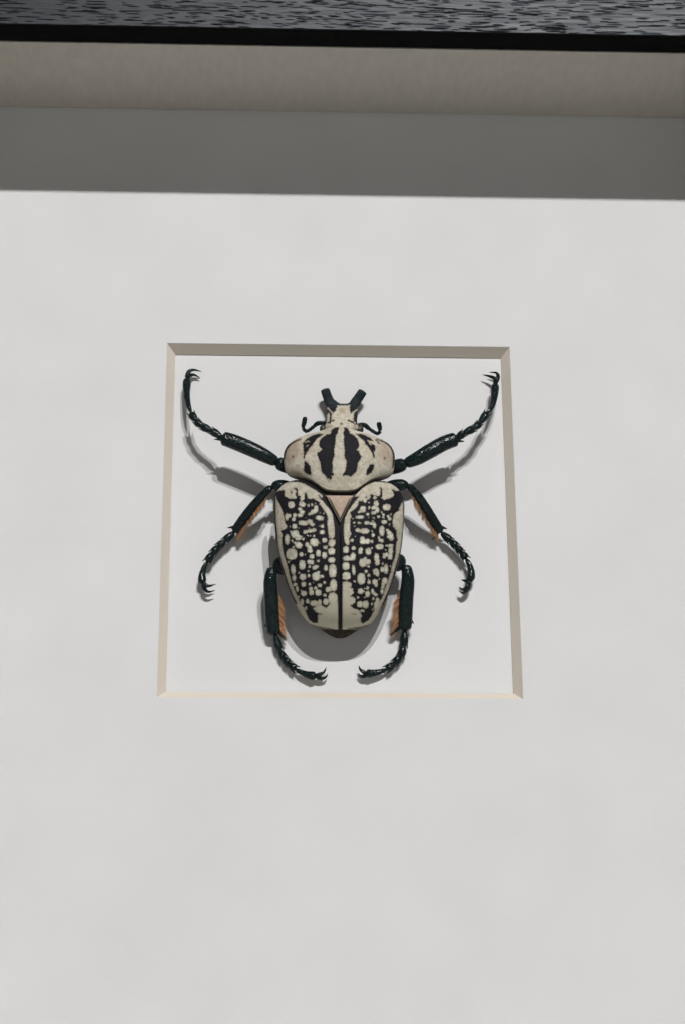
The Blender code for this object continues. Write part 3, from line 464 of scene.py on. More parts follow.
# ---- Back of the case. A dark hardboard panel, held by flexible steel tabs, a saw-tooth hanger on
# two nails, and two small rubber bumpers that keep the frame off the wall.
hardboard = plain_material("brown_hardboard", (0.13, 0.07, 0.035), 0.7)
board_fibre = object_noise(hardboard, 900.0, 6.0, roughness=0.7)
feed(hardboard, Base_Color=ramp(hardboard, board_fibre, [(0.25, (0.07, 0.035, 0.018)),
                                                         (0.5, (0.14, 0.075, 0.038)),
                                                         (0.8, (0.23, 0.14, 0.08))]),
     Normal=bumped(hardboard, board_fibre, 0.0002))
give("back_panel", hardboard)
steel = plain_material("zinc_plated_steel", (0.6, 0.6, 0.58), 0.35)
fix(steel, Metallic=1.0)
steel_brush = object_noise(steel, 700.0, 4.0, (1.0, 1.0, 6.0))
feed(steel, Base_Color=ramp(steel, steel_brush,
                            [(0.3, (0.48, 0.48, 0.46)), (0.7, (0.66, 0.66, 0.64))]),
     Roughness=between(steel, steel_brush, 0.3, 0.7, 0.28, 0.45))
for node in [f"back_tab_{number}" for number in range(1, 7)]:
    give(node, steel)
for node in ("hanger_plate", "hanger_nail_left", "hanger_nail_right"):
    give(node, steel)
rubber = plain_material("grey_rubber", (0.3, 0.3, 0.29), 0.6)
rubber_grain = object_noise(rubber, 2500.0, 2.0)
feed(rubber, Base_Color=ramp(rubber, rubber_grain,
                             [(0.3, (0.26, 0.26, 0.25)), (0.7, (0.34, 0.34, 0.33))]),
     Normal=bumped(rubber, rubber_grain, 0.00005))
give("back_bumper_left", rubber)
give("back_bumper_right", rubber)


# ---- Wing cases. Two thin domed shells of hard chitin that meet along the back, velvety black with
# cream cells between black meshes, a cream rim, and a cream band at the base and beside the
# scutellum.
MM = 0.001
BACKING_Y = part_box("backing_board")[0].y
WINDOW_Z = 0.2339                 # middle of the mat's window
SEAM_X = (-0.8, -0.3)             # the seam's place at v = 0 and at the rear end
APEX_V = -43.6                    # rear end of the wing cases
APEX_H = 9.6
DISC_H = 27.0                     # height along the seam
RIM_H = 16.0                      # height of the side rim at the shoulder
SHELL = 0.9
SUTURE_GAP = 0.15
# Half width of the two wing cases at places v along the body
ELYTRA_HALF = [(9, 17.0), (6, 20.2), (3, 22.2), (0, 22.75), (-4, 22.6), (-12, 21.9), (-20, 20.5),
               (-27, 18.3), (-34, 15.4), (-38.5, 12.7), (-41, 10.5), (-42.4, 8.6), (-43.6, 6.0)]
ELYTRON_BASE = [(5.3, -0.5), (9.0, 3.2), (13.5, 5.4), (17.6, 5.7)]
ELYTRON_SEAM = [(5.3, -0.5), (3.2, -5.4), (0.45, -11.2), (SUTURE_GAP, -12.5), (SUTURE_GAP, -43.5)]
ELYTRON_APEX = [(SUTURE_GAP, -43.5), (3.5, -43.5), (6.3, -43.3)]
FLANK_V = (4.1, -42.4)            # the side edge's front and rear ends


def board(points):
    """World places of points (x, v, h) given in millimetres on the backing board."""
    x, v, h = np.moveaxis(np.asarray(points, float), -1, 0)
    return np.stack([x * MM, BACKING_Y - h * MM, WINDOW_Z + v * MM], -1)


def through(points, count):
    """Points on a Catmull-Rom curve through the given ones, evenly spread by parameter."""
    points = np.array(points, float)
    padded = np.vstack([2 * points[0] - points[1], points, 2 * points[-1] - points[-2]])
    place = np.linspace(0, len(points) - 1, count)
    start = np.minimum(place.astype(int), len(points) - 2)
    t = (place - start)[:, None]
    a, b, c, d = (padded[start + shift] for shift in range(4))
    return 0.5 * (2 * b + (c - a) * t + (2 * a - 5 * b + 4 * c - d) * t ** 2
                  + (3 * b - a - 3 * c + d) * t ** 3)


def half_width(table, v):
    """Half width at v, on a smooth curve through the table's places."""
    dense = through(table, 400)
    return np.interp(-np.asarray(v, float), -dense[:, 0], dense[:, 1])


def elytra_height(x, v):
    """Height of the wing cases' outer face: a disc that falls to the side rim and to the apex."""
    back = np.clip(-np.asarray(v, float) / -APEX_V, 0, 1)
    rim = RIM_H - (RIM_H - APEX_H) * back ** 1.5
    top = APEX_H + (DISC_H - APEX_H) * np.sqrt(1 - back ** 3)
    out = np.clip(np.abs(x) / half_width(ELYTRA_HALF, v), 0, 1)
    return rim + (top - rim) * np.sqrt(1 - out ** 2.6)


def seam_x(v):
    """Where the body's middle line lies at v, behind the pronotum."""
    return SEAM_X[0] + (SEAM_X[1] - SEAM_X[0]) * np.asarray(v, float) / APEX_V


def elytron_surface(sign, across, along):
    """The outer face of one wing case: plan points blended between its four edges (a Coons patch),
    closer together towards the side, each raised to the dome's height on the board."""
    v_seam = np.linspace(ELYTRON_SEAM[0][1], ELYTRON_SEAM[-1][1], along)
    seam_table = np.array(ELYTRON_SEAM)
    seam = np.stack([np.interp(-v_seam, -seam_table[:, 1], seam_table[:, 0]), v_seam], -1)
    v_side = np.linspace(*FLANK_V, along)
    flank = np.stack([half_width(ELYTRA_HALF, v_side), v_side], -1)
    share = np.sin(np.linspace(0, math.pi / 2, across))
    steps = np.linspace(0, 1, 400)
    base = through([*ELYTRON_BASE, flank[0]], 400)
    apex = through([*ELYTRON_APEX, flank[-1]], 400)
    base = np.stack([np.interp(share, steps, column) for column in base.T], -1)
    apex = np.stack([np.interp(share, steps, column) for column in apex.T], -1)
    a = share[None, :, None]
    b = np.linspace(0, 1, along)[:, None, None]
    corners = ((1 - a) * (1 - b) * base[0] + a * (1 - b) * base[-1]
               + (1 - a) * b * apex[0] + a * b * apex[-1])
    plan = (1 - a) * seam[:, None] + a * flank[:, None] + (1 - b) * base[None] + b * apex[None]
    plan = plan - corners
    x, v = plan[..., 0], plan[..., 1]
    return np.stack([seam_x(v) + sign * x, v, elytra_height(x, v)], -1)


def spot(seen, x, y, wide, high, turn=0.0):
    """How far inside a rounded spot each point lies, in picture pixels; below 0 is outside."""
    c, s = math.cos(math.radians(turn)), math.sin(math.radians(turn))
    dx, dy = seen[..., 0] - x, seen[..., 1] - y
    out = (np.abs((dx * c + dy * s) / wide) ** 2.5 + np.abs((dy * c - dx * s) / high) ** 2.5) ** 0.4
    return (1 - out) * min(wide, high)


def patch(seen, outline):
    """How far inside an outline each point lies, in picture pixels: the distance to the nearest
    side, below 0 where a line to the right crosses the outline an even number of times."""
    outline = np.array(outline, float)
    near = np.full(seen.shape[:-1], 1e9)
    inside = np.zeros(seen.shape[:-1], bool)
    for start, end in zip(outline, np.roll(outline, -1, 0)):
        way = end - start
        away = seen - start
        share = np.clip((away @ way) / (way @ way + 1e-9), 0, 1)
        near = np.minimum(near, np.linalg.norm(away - share[..., None] * way, axis=-1))
        crosses = (start[1] > seen[..., 1]) != (end[1] > seen[..., 1])
        rise = way[1] if abs(way[1]) > 1e-9 else 1e-9
        inside ^= crosses & (seen[..., 0] < start[0] + way[0] * (seen[..., 1] - start[1]) / rise)
    return np.where(inside, near, -near)


def stroke(seen, points):
    """How far inside a drawn line each point lies; points are (x, y, half width)."""
    points = np.array(points, float)
    best = np.full(seen.shape[:-1], -1e9)
    for start, end in zip(points[:-1], points[1:]):
        way = end[:2] - start[:2]
        away = seen - start[:2]
        share = np.clip((away @ way) / (way @ way + 1e-9), 0, 1)
        width = start[2] + share * (end[2] - start[2])
        best = np.maximum(best, width - np.linalg.norm(away - share[..., None] * way, axis=-1))
    return best


def wandered(seen):
    """Picture places moved by up to a third of a pixel along slow sines, for uneven edges."""
    x, y = seen[..., 0], seen[..., 1]
    return np.stack([x + 0.22 * np.sin(1.9 * y + 0.7 * x) + 0.12 * np.sin(3.7 * y - 1.3 * x),
                     y + 0.22 * np.sin(1.7 * x - 0.9 * y) + 0.12 * np.sin(3.3 * x + 1.9 * y)], -1)


# The markings, read off the picture: outlines and (x, y, half width, half height, turn)
BASE_CREAM = {
    "left": [(270, 493), (278, 487), (284, 484), (290, 482.5), (298, 482.5), (304, 484),
             (310, 487.5), (316, 491), (321, 494.5), (323.2, 497.5), (321, 499),
             (323.5, 502), (326.5, 506), (329.5, 509.5), (331.5, 512.5), (333, 516), (333.7, 520),
             (334.3, 524), (334.7, 529), (334.9, 535), (334.5, 537.5), (333, 539), (331.5, 539.3),
             (330.5, 538), (329.3, 539.3), (329, 537), (328.2, 534), (328.3, 531), (328, 529),
             (327.7, 526.5), (327.2, 524), (327.6, 521.5), (328, 519.5), (327.5, 517),
             (326.7, 514.5), (324.5, 512), (323, 509.5), (321.5, 507), (319.5, 505.5), (320, 503),
             (319, 502.3), (316.5, 501.3), (314, 499.2), (312, 499.5), (309.5, 499.8),
             (307.8, 498.5), (307, 495), (305, 495.5), (304.5, 500.5), (302, 502), (300.5, 501),
             (300, 497.5), (298, 496), (295.5, 500), (293, 499.2), (290.5, 499.8), (288, 498.5),
             (284.8, 497), (285, 491), (284, 491), (278.5, 491.5), (275.5, 493), (274, 493.5)],
    "right": [(405, 493), (401, 489), (396, 486.5), (390, 484), (382, 482.5), (374, 482.5),
              (368, 485), (362, 488.5), (356, 492.5), (354.5, 497.8), (359.3, 496.8),
              (356, 501), (352.5, 505.5), (349.5, 509.5), (347, 513), (345.6, 516), (344.8, 520),
              (344.2, 525), (343.8, 530), (344, 536), (344.3, 540), (344.9, 543), (346.5, 545),
              (348.5, 545.8), (349.7, 543.5), (349.5, 541), (348.8, 539.5), (350, 537.5),
              (351.5, 535), (351, 533), (350, 531), (350.3, 527), (350.2, 523), (350.5, 519.5),
              (351.8, 517), (350.5, 514.5), (350.2, 512.5), (352.5, 511.5), (355, 509.5),
              (357, 507.5), (358.5, 504.5), (358.8, 501.5), (361.5, 502), (362.5, 500.7),
              (363.3, 502.6), (365, 503.9), (366.7, 502.6), (367.2, 500), (369.3, 500),
              (370.5, 498), (370.6, 495.5), (371.5, 494.5), (374, 496.5), (376, 496),
              (377.5, 497), (379.5, 496.5), (380.6, 494.5), (382, 491), (382.2, 495),
              (382, 497.5), (381, 498.3), (383, 500), (384.5, 501.3), (385.8, 500),
              (389, 499.4), (391, 498.5), (393.7, 497), (393.8, 494), (393, 492),
              (392, 490.5), (393.5, 490.5), (395, 491.5), (397, 491.8), (399, 491.2),
              (401, 491.3), (403, 493.5)]}
APEX_CREAM = {
    "left": [(299, 604), (305.5, 610.8), (304.3, 612.5), (313, 608.5), (316, 607.2), (319.5, 605),
             (323.5, 606.8), (326.5, 608.5), (328.5, 606), (330.5, 603.5), (333, 602),
             (338.6, 602), (339.5, 640), (300, 640), (285, 604)],
    "right": [(342.3, 584), (343.5, 582.2), (347, 581.8), (350.5, 583), (352, 585), (351.5, 587),
              (349.8, 588.2), (351.5, 588.3), (353, 589), (353, 591), (354, 593.3), (352.5, 595),
              (350.5, 597), (353, 597), (355.5, 599.5), (355.7, 601.5), (354.8, 603.5),
              (352.5, 605.3), (350.8, 605.5), (350.8, 606.5), (353, 608.5), (356, 609.5),
              (359, 610.5), (360.3, 613.3), (362, 615.2), (361.8, 617.5), (361, 619.5),
              (361.3, 622), (362.5, 624), (369, 621), (372, 617.5), (376, 612), (390, 612),
              (380, 640), (341, 640), (341.6, 610)]}
APEX_SPOT = {
    "left": [(304.3, 612.3), (306, 611), (307.5, 608.3), (309, 607.8), (311.5, 607.5),
             (313.5, 609.5), (316, 612.3), (318, 614), (322.5, 614.3), (320, 615), (317.5, 615.5),
             (318.2, 618), (317.8, 621), (317.6, 623.6), (315.5, 624), (312.5, 622.8), (310, 621),
             (307.5, 618.5), (305.5, 616)],
    "right": [(359.9, 612.5), (362, 613.6), (364.8, 612.2), (365, 610.5), (366.5, 609.8),
              (368.8, 608.5), (369.3, 605), (369.5, 603), (371, 606.5), (371.5, 609),
              (372.5, 611.5), (374.5, 611), (375, 613), (373.8, 616), (371.5, 618.5), (369, 621.5),
              (366.5, 623.5), (364, 624.2), (362.5, 624), (361, 621.5), (360.9, 619),
              (362, 616.5), (361.5, 614.5)]}
# Inner edge of the cream side rim: picture rows, and where the rim ends in each
RIM_CREAM = {
    "left": [(495, 274), (497, 276), (500, 276.5), (505, 279.5), (512, 283), (520, 285),
             (524, 285.5), (527, 288), (529.5, 286), (531.5, 281), (535, 283), (540, 282.2),
             (545, 282.5), (550, 283.5), (555, 284.3), (560, 286), (565, 287.5), (570, 289),
             (575, 289.8), (580, 291.2), (585, 292.6), (590, 294.5), (595, 297), (600, 299),
             (605, 302), (610, 305.5), (615, 307), (620, 309.5), (623, 312.5), (628, 340)],
    "right": [(496, 406), (499, 404.3), (502.5, 402.5), (505.5, 400.5), (509, 399), (511.5, 398.8),
              (512.6, 396.5), (515, 393.5), (519, 392.8), (523, 392.3), (527, 392.9),
              (529.5, 395), (532, 396.3), (537, 396.5), (540.5, 397.7), (543, 396.3),
              (547, 395.8), (553, 395.6), (557, 395), (560, 394), (563, 392.8), (566, 392),
              (570, 391), (573, 390.8), (576, 389.5), (580, 388.5), (585, 386.5), (590, 384.7),
              (595, 383.5), (600, 381), (605, 376), (610, 374.5), (615, 372), (620, 369),
              (624, 363), (628, 338)]}
# Outer edge of the cream rim, from picture row to column; a brown-grey strip lies outside its line,
# RIM_LINE_WIDE pixels further out
RIM_LINE_WIDE = 1.2
RIM_LINE = {
    "left": [(497, 275.3), (512, 275.2), (520, 275.5), (535, 276.8), (545, 277.6), (555, 279.5),
             (565, 282.5), (575, 285.7), (585, 288.7), (595, 292.7), (605, 298), (615, 302.5),
             (620, 305.5), (624, 310), (627, 321), (629.2, 336)],
    "right": [(500, 403.2), (520, 403.4), (530, 402.7), (540, 401.6), (550, 400.4), (560, 397.6),
              (570, 394.7), (580, 392), (590, 388.8), (600, 384.3), (610, 380.2), (620, 374.8),
              (624, 371), (627, 359), (629.2, 345)]}
CELLS = {
    "left": [
        (332, 543.5, 3.6, 4.2, 20), (331.7, 551.8, 3.8, 3.7), (331.8, 560.6, 3.9, 3),
        (332.8, 571.3, 4, 7.2), (333.6, 585.8, 3.8, 6.4), (328.6, 590, 3.3, 2.7, -20),
        (333, 599, 5, 6.3), (326, 602.3, 3.1, 3.6), (314.5, 603.8, 4.8, 3.1), (320, 603, 2, 3.8),
        (291.6, 505.5, 3.6, 3.7), (302.5, 505, 3.7, 2.9, 25), (300.3, 509.8, 2.6, 1.9, 20),
        (302.3, 512.8, 2.9, 2.4), (300.5, 515.8, 3, 2.2, -10), (308.8, 506, 1.4, 1.7),
        (312.2, 505.4, 1.3, 1.6), (315.4, 504.4, 0.8, 0.9), (316.3, 508.6, 2.3, 2.9, -15),
        (314.6, 511.8, 4.3, 2.6, -25), (311, 514.2, 3.3, 1.7, -15), (320.2, 513.7, 0.8, 0.8),
        (323.9, 514, 0.9, 0.9), (319.9, 518.7, 4.6, 2.6, 10), (287.2, 517.5, 2.1, 3.9),
        (289.9, 516.3, 1.6, 2.4), (295.1, 515.8, 2.2, 2.4), (294, 519.9, 2.2, 2.2),
        (306.2, 518.7, 0.8, 0.9), (303.7, 523.7, 5.4, 2.7, 5), (310, 522.2, 3.2, 2.5),
        (312.4, 525, 2.7, 2.2, 20), (294.9, 526.9, 2.8, 2.7), (290.3, 527.3, 0.8, 1),
        (299.3, 528.9, 0.8, 0.9), (319.6, 526.8, 0.9, 0.8), (322.5, 526.8, 2, 2.1),
        (322.3, 532.8, 2.9, 2.3, -10), (305.5, 532.6, 2.3, 2.2), (310.8, 531.5, 4.9, 2, -5),
        (314.3, 530.6, 2.3, 2.2), (309.5, 528.7, 0.7, 0.8), (308, 536, 1.1, 1.1),
        (310.4, 536.6, 0.8, 0.8), (314.3, 536.5, 1.4, 1.3), (296, 534, 3.6, 3.6),
        (298.5, 538, 3.4, 3.2, -20), (294, 535.5, 2.8, 3.4, -30), (291.6, 532.5, 1.4, 1.8),
        (301.8, 537, 1.3, 1), (303.4, 539.6, 1.7, 1.6), (287.6, 540, 2.7, 5.6),
        (292.6, 541.4, 1.2, 2.1, -15), (295.5, 543.6, 1.8, 1.6), (299, 545.8, 3.9, 3.4, 20),
        (293.8, 547.8, 1.3, 1.5), (314.6, 542.8, 4.8, 4.2, 15), (320.2, 543.6, 0.8, 0.9),
        (324.7, 540.8, 2.7, 2.7), (325.6, 548, 2.4, 2.1), (307.4, 545.2, 2.4, 2.7, -20),
        (309.8, 548, 2.5, 2.6), (310.2, 551, 3, 2.6), (292, 554.7, 5.7, 5.9),
        (301.6, 554.9, 2.4, 2.5), (305.4, 555.1, 1, 1.1), (318.5, 553.8, 2.6, 3.8),
        (324.6, 555.9, 2.7, 3.7), (312, 557, 2.7, 2.6, 10), (318.4, 561.3, 1.8, 1.6),
        (310.8, 562.6, 3.9, 2.6, 10), (309.7, 567.1, 1.5, 1.8), (315.6, 567.8, 3.8, 2.3, -20),
        (302.5, 565.4, 3.4, 5.2), (288.7, 562.5, 1.1, 1.5), (290.2, 561.7, 0.8, 0.8),
        (293.5, 570, 2.6, 5.4, -5), (294.4, 578.5, 2.2, 3.6), (299.2, 573.2, 1.1, 1.2),
        (308.6, 571.6, 1.2, 1.5), (309.1, 576.3, 1.6, 2), (303.1, 577.5, 3.6, 3.4, 10),
        (316.3, 577, 4.2, 4.6, -20), (318.5, 573.3, 1.9, 2), (322.3, 576.9, 2, 2),
        (326, 568.5, 2.2, 3.4), (303.9, 584.8, 2.6, 2.8), (310, 584.8, 1.6, 1.8),
        (313.7, 583.2, 0.8, 0.9), (320, 586, 2.6, 2.1), (324.7, 583, 1.5, 1.8),
        (310.9, 589.2, 2.2, 2.1), (311.6, 593, 2.6, 3), (315.9, 588.6, 2, 1.9),
        (318.4, 593.2, 3.4, 3.4, -10), (325, 595.7, 1.9, 1.9), (295.3, 585, 2.5, 1.9, -20),
        (297.4, 589.3, 1.7, 3.6, -8), (301.4, 591, 0.8, 1.2), (304, 594, 3.3, 3),
        (299, 597.8, 1.1, 2.2), (302.3, 602.5, 1.9, 3.8, -5), (306, 608.5, 1.6, 2.2),
        (307.8, 601.7, 2.1, 2.6)],
    "right": [
        (374.8, 498.5, 2.1, 1.8), (369.2, 503, 0.9, 1.1), (363, 508.8, 3.3, 2.3),
        (360.2, 512.2, 3.2, 1.6, -15), (363.5, 511.3, 2.8, 1.8), (369.2, 508.4, 1.4, 1.7),
        (376.2, 504.2, 2.6, 3.4, -15), (374, 508.3, 3.2, 2.2, -20), (377.3, 510.5, 2.2, 3.2),
        (374, 513.4, 3.4, 1.9, -10), (386.6, 507.8, 4.3, 3.5), (381.5, 513, 1, 1.6),
        (383.3, 515.3, 1.5, 1.8), (383.2, 518, 1.7, 1.2), (378.6, 517.4, 1.8, 1.6),
        (388.2, 517.2, 1.6, 2, -20), (389.6, 519.5, 2, 1.9, -20), (391, 515, 1, 1.3),
        (367.6, 515, 1.8, 1.9), (368.3, 518, 0.7, 1), (359.8, 517.8, 4.9, 2),
        (353.2, 519.4, 0.9, 0.8), (353.9, 523.3, 1.5, 1.2), (354.6, 527, 1.1, 1, 30),
        (359.3, 523.6, 2.2, 1.4, 10), (373.6, 518.5, 1.9, 0.8, 35), (366.8, 523.5, 3.1, 2),
        (371.5, 524.2, 2.6, 1.7, 10), (374.3, 525.8, 2.1, 3.4, -10), (373, 521.8, 1.4, 0.8, 40),
        (384.1, 522.6, 3.2, 2.2), (389.5, 525, 1, 1.4), (357.9, 530.8, 2.9, 2.2),
        (364.7, 531.6, 4.9, 3), (361, 531.5, 2.5, 2), (381.8, 531.5, 2.9, 5.6),
        (387.2, 531, 1.7, 1.9), (389.2, 533.6, 2.6, 2.6), (391, 537.2, 2.8, 4.6, -8),
        (388.3, 537.3, 2, 1.5), (372.2, 532, 1, 1.2, -20), (373.1, 535.8, 1.9, 2.2),
        (355.3, 537, 0.9, 0.9), (352, 541, 1.9, 1.9), (362.3, 538.8, 2.6, 1.9),
        (363, 542, 3.5, 3), (367.3, 541.8, 2.9, 3), (372, 542, 1.6, 1.9), (379, 538.4, 1.4, 2, -15),
        (381, 541, 3.2, 2, 15), (379.5, 547.3, 4.3, 3), (371.9, 548.6, 1.2, 1.2),
        (346, 550.2, 3.1, 3.8), (353.7, 548.7, 2.4, 2.2), (360.6, 551.2, 2.4, 3.8, 10),
        (368.3, 552, 3, 3.9, -15), (353.2, 557, 2.7, 4.2), (347, 558.8, 4.2, 2.8),
        (350.5, 559.5, 2.5, 2), (387, 546.2, 2, 1.3), (390.8, 546.5, 2.8, 2.2),
        (390.6, 551.5, 2.6, 4.2), (390, 557, 2.7, 3.4), (386.3, 555.2, 2.6, 2.2),
        (384.2, 556.4, 1.8, 3.3), (385.5, 550.5, 1, 1.2), (376.5, 558, 2.7, 4.6),
        (377.3, 562.3, 2.6, 4), (346, 566.6, 3.9, 4.2), (353.7, 570.5, 2, 5.6, -5),
        (363, 563.3, 4, 4.6), (368, 562.2, 3, 2.8), (365.3, 559, 1.5, 1.8),
        (368.5, 567, 1.5, 1.5), (382.6, 564.2, 1.2, 1.7), (386, 569.5, 2.4, 5.5),
        (382.3, 570, 2.4, 3, 10), (390.3, 566.8, 0.9, 1.2), (346.5, 576.5, 4.5, 4.2),
        (354.6, 581.9, 1.4, 1.6), (361.3, 579.3, 4.2, 6.1), (366.1, 572, 1.9, 1.8),
        (368.8, 575.8, 1.7, 2), (368.4, 579.3, 0.7, 1), (369.1, 582.6, 1.9, 2.5),
        (376, 572.4, 3.2, 3.8, -20), (377.5, 575.3, 1.9, 2), (379.3, 579.4, 0.9, 1.1),
        (375, 582.5, 3, 3.2), (376, 585.5, 2.2, 2.2), (384.8, 581.3, 3.1, 3.5),
        (383.2, 585, 2, 3), (382.7, 587.8, 1.9, 2), (382, 592, 1.9, 3.2), (360.5, 591.8, 3, 3.2),
        (363.3, 591.8, 1.8, 1.3), (365, 589.2, 1.6, 0.9), (367.6, 588.5, 1.8, 1.9),
        (367.6, 594.5, 2.6, 3.4), (364.8, 598, 1, 1), (358, 598.2, 1.4, 1.4),
        (372.7, 592, 1.9, 3.2, -10), (375.2, 594.8, 3.2, 1.9, 35), (373.3, 599.3, 1.5, 1.7),
        (372, 604.4, 1.2, 1.8), (372.6, 610, 1, 1.6), (360, 604.8, 3.2, 3.6),
        (365.5, 605, 3.4, 4.2), (362.3, 611.3, 2.6, 1.7), (377.5, 601, 2.2, 3.2),
        (377, 605, 3.3, 3.4), (375.5, 608, 2, 2.6)]}
# Black lines and small brown dots that cross the cream: (x, y, half width) along each
CRACKS = {
    "left": [[(295, 489.3, 0.6), (297.2, 490.2, 0.7), (297.3, 493.5, 0.7), (296.5, 495.5, 0.8),
              (298.5, 497.3, 0.8), (300.3, 497.5, 0.7)],
             [(305.7, 494.3, 0.8), (306, 498, 1.2)], [(318.8, 496, 0.3), (322, 500, 0.9)]],
    "right": [[(380.6, 494.5, 0.7), (381.4, 491, 0.7), (380.7, 488.7, 0.6), (379.8, 488.7, 0.4)],
              [(353, 504, 0.5), (349.5, 508.5, 0.6), (346.5, 512.5, 0.6), (345.3, 514.5, 0.5)]]}
SEAM_BAND = [(339.6, 524, 3.0), (340, 540, 2.6), (340.2, 580, 2.4), (340.3, 604, 2.2),
             (340.4, 629, 2.0)]
DOTS = {"left": [(291.7, 493, 0.8, 1.1)], "right": [(366.2, 498, 0.8, 0.9), (354, 614.5, 1.2, 0.4)]}
OUTSIDE = -9.0                    # well outside every marking, in picture pixels
FIELD_LIMIT = 3                   # markings are stored up to this many pixels from their edge
CELL_INSET = 0.25                 # how much smaller the cells are drawn than they were read
DOT_INSET = 0.15
CASE_POINTS = (130, 230)          # points across and along each wing case


def elytron_marks(side, sign, points):
    """The cream field of a wing case in picture pixels, above 0 in the cream, how warm it is, and
    the field of the brown-grey strip along the side."""
    seen = wandered(in_picture(board(points)))
    rows, ends = np.array(RIM_CREAM[side], float).T
    inner = sign * (seen[..., 0] - np.interp(seen[..., 1], rows, ends))
    inner = np.where(seen[..., 1] < rows[0], OUTSIDE, inner)
    rows, line = np.array(RIM_LINE[side], float).T
    outside = sign * (seen[..., 0] - np.interp(seen[..., 1], rows, line))
    rim = np.minimum(inner, -outside)
    region = np.maximum(patch(seen, BASE_CREAM[side]), patch(seen, APEX_CREAM[side]))
    region = np.maximum(np.minimum(region, -patch(seen, APEX_SPOT[side])), rim)
    cells = np.full(region.shape, OUTSIDE)
    for cell in CELLS[side]:
        cells = np.maximum(cells, spot(seen, *cell))
    cream = np.minimum(np.maximum(region, cells - CELL_INSET), -stroke(seen, SEAM_BAND))
    for line in CRACKS[side]:
        cream = np.minimum(cream, -stroke(seen, line))
    for dot in DOTS[side]:
        cream = np.minimum(cream, -spot(seen, *dot) + DOT_INSET)
    warm = np.clip(0.5 + (region - cells) / 2, 0, 1)
    strip = np.clip(outside - RIM_LINE_WIDE, -FIELD_LIMIT, FIELD_LIMIT)
    return np.clip(cream, -FIELD_LIMIT, FIELD_LIMIT), warm, strip


shell = plain_material("patterned_shell", (0.4, 0.34, 0.27), 0.6)
fix(shell, Specular_IOR_Level=0.14)
cream_value = stored(shell, "cream")
warm_value = stored(shell, "warm")
teal_value = stored(shell, "teal")
strip_value = stored(shell, "strip")
tint_value = stored(shell, "tint")
fine_grain = object_noise(shell, 3800.0, 3.0)
mottle = object_noise(shell, 700.0, 6.0, roughness=0.65)
patches = object_noise(shell, 150.0, 3.0)
specks = object_noise(shell, 2300.0, 3.0)
ragged = summed(shell, cream_value, between(shell, fine_grain, 0.2, 0.8, -0.35, 0.35))
cream_mask = between(shell, ragged, -0.35, 0.35)
cream_colour = mixed(shell, warm_value, (0.68, 0.68, 0.58), (0.6, 0.565, 0.47))
cream_colour = mixed(shell, between(shell, mottle, 0.38, 0.7, 0.0, 0.6), cream_colour,
                     (0.27, 0.24, 0.18))
cream_colour = mixed(shell, between(shell, specks, 0.5, 0.64, 0.0, 0.5), cream_colour,
                     (0.26, 0.25, 0.19))
cream_colour = mixed(shell, between(shell, patches, 0.48, 0.72, 0.0, 0.5), cream_colour,
                     (0.3, 0.28, 0.2))
cream_colour = mixed(shell, between(shell, patches, 0.5, 0.3, 0.0, 0.4), cream_colour,
                     (0.42, 0.33, 0.26))
# Towards the rear end the cream turns lighter and greener: partly its own greener tone, partly
# painted light that lifts the shade where the apex slopes away from the lamps.
along_body = object_axis(shell, "Z")
rearwards = between(shell, along_body, WINDOW_Z - 0.024, WINDOW_Z - 0.041, 0.0, 0.8)
cream_colour = mixed(shell, rearwards, cream_colour, (0.55, 0.53, 0.41))
cream_colour = mixed(shell, tint_value, cream_colour, (0.33, 0.2, 0.13))
edge_tone = between(shell, ragged, 0.2, 1.4, 0.45, 0.0)
cream_colour = mixed(shell, edge_tone, cream_colour, (0.17, 0.125, 0.08))
black_colour = ramp(shell, mottle, [(0.3, (0.004, 0.004, 0.006)), (0.7, (0.009, 0.008, 0.013))])
teal_colour = ramp(shell, mottle, [(0.35, (0.006, 0.011, 0.013)), (0.7, (0.024, 0.038, 0.042))])
black_colour = mixed(shell, teal_value, black_colour, teal_colour)
strip_colour = ramp(shell, mottle, [(0.3, (0.10, 0.08, 0.055)), (0.7, (0.24, 0.20, 0.15))])
painted = mixed(shell, cream_mask, black_colour, cream_colour)
painted = mixed(shell, between(shell, strip_value, 0.0, 0.6), painted, strip_colour)
feed(shell, Base_Color=painted, Roughness=between(shell, cream_mask, 0.0, 1.0, 0.66, 0.6),
     Normal=bumped(shell, fine_grain, 0.00005, 0.8))
for side, sign in (("left", -1), ("right", 1)):
    points = elytron_surface(sign, *CASE_POINTS)
    cream, warm, strip = elytron_marks(side, sign, points)
    mesh = skin("wing_case_" + side, [board(points)], wrap=False, toward=(0, -1, 0))
    mark(mesh, "cream", cream)
    mark(mesh, "warm", warm)
    mark(mesh, "strip", strip)
    case = finished("wing_case_" + side, mesh, shell, "patterned_shell", "beetle_elytron_" + side)
    wall = case.modifiers.new("wall", "SOLIDIFY")
    wall.thickness = SHELL * MM
    wall.offset = -1


# ---- Pronotum. The domed shield over the front of the body, one plate of chitin, pinkish cream
# with two broad black bands beside the middle, a band and a spot at each side, and a dark thin
# edge.
PRONOTUM_X = -0.5
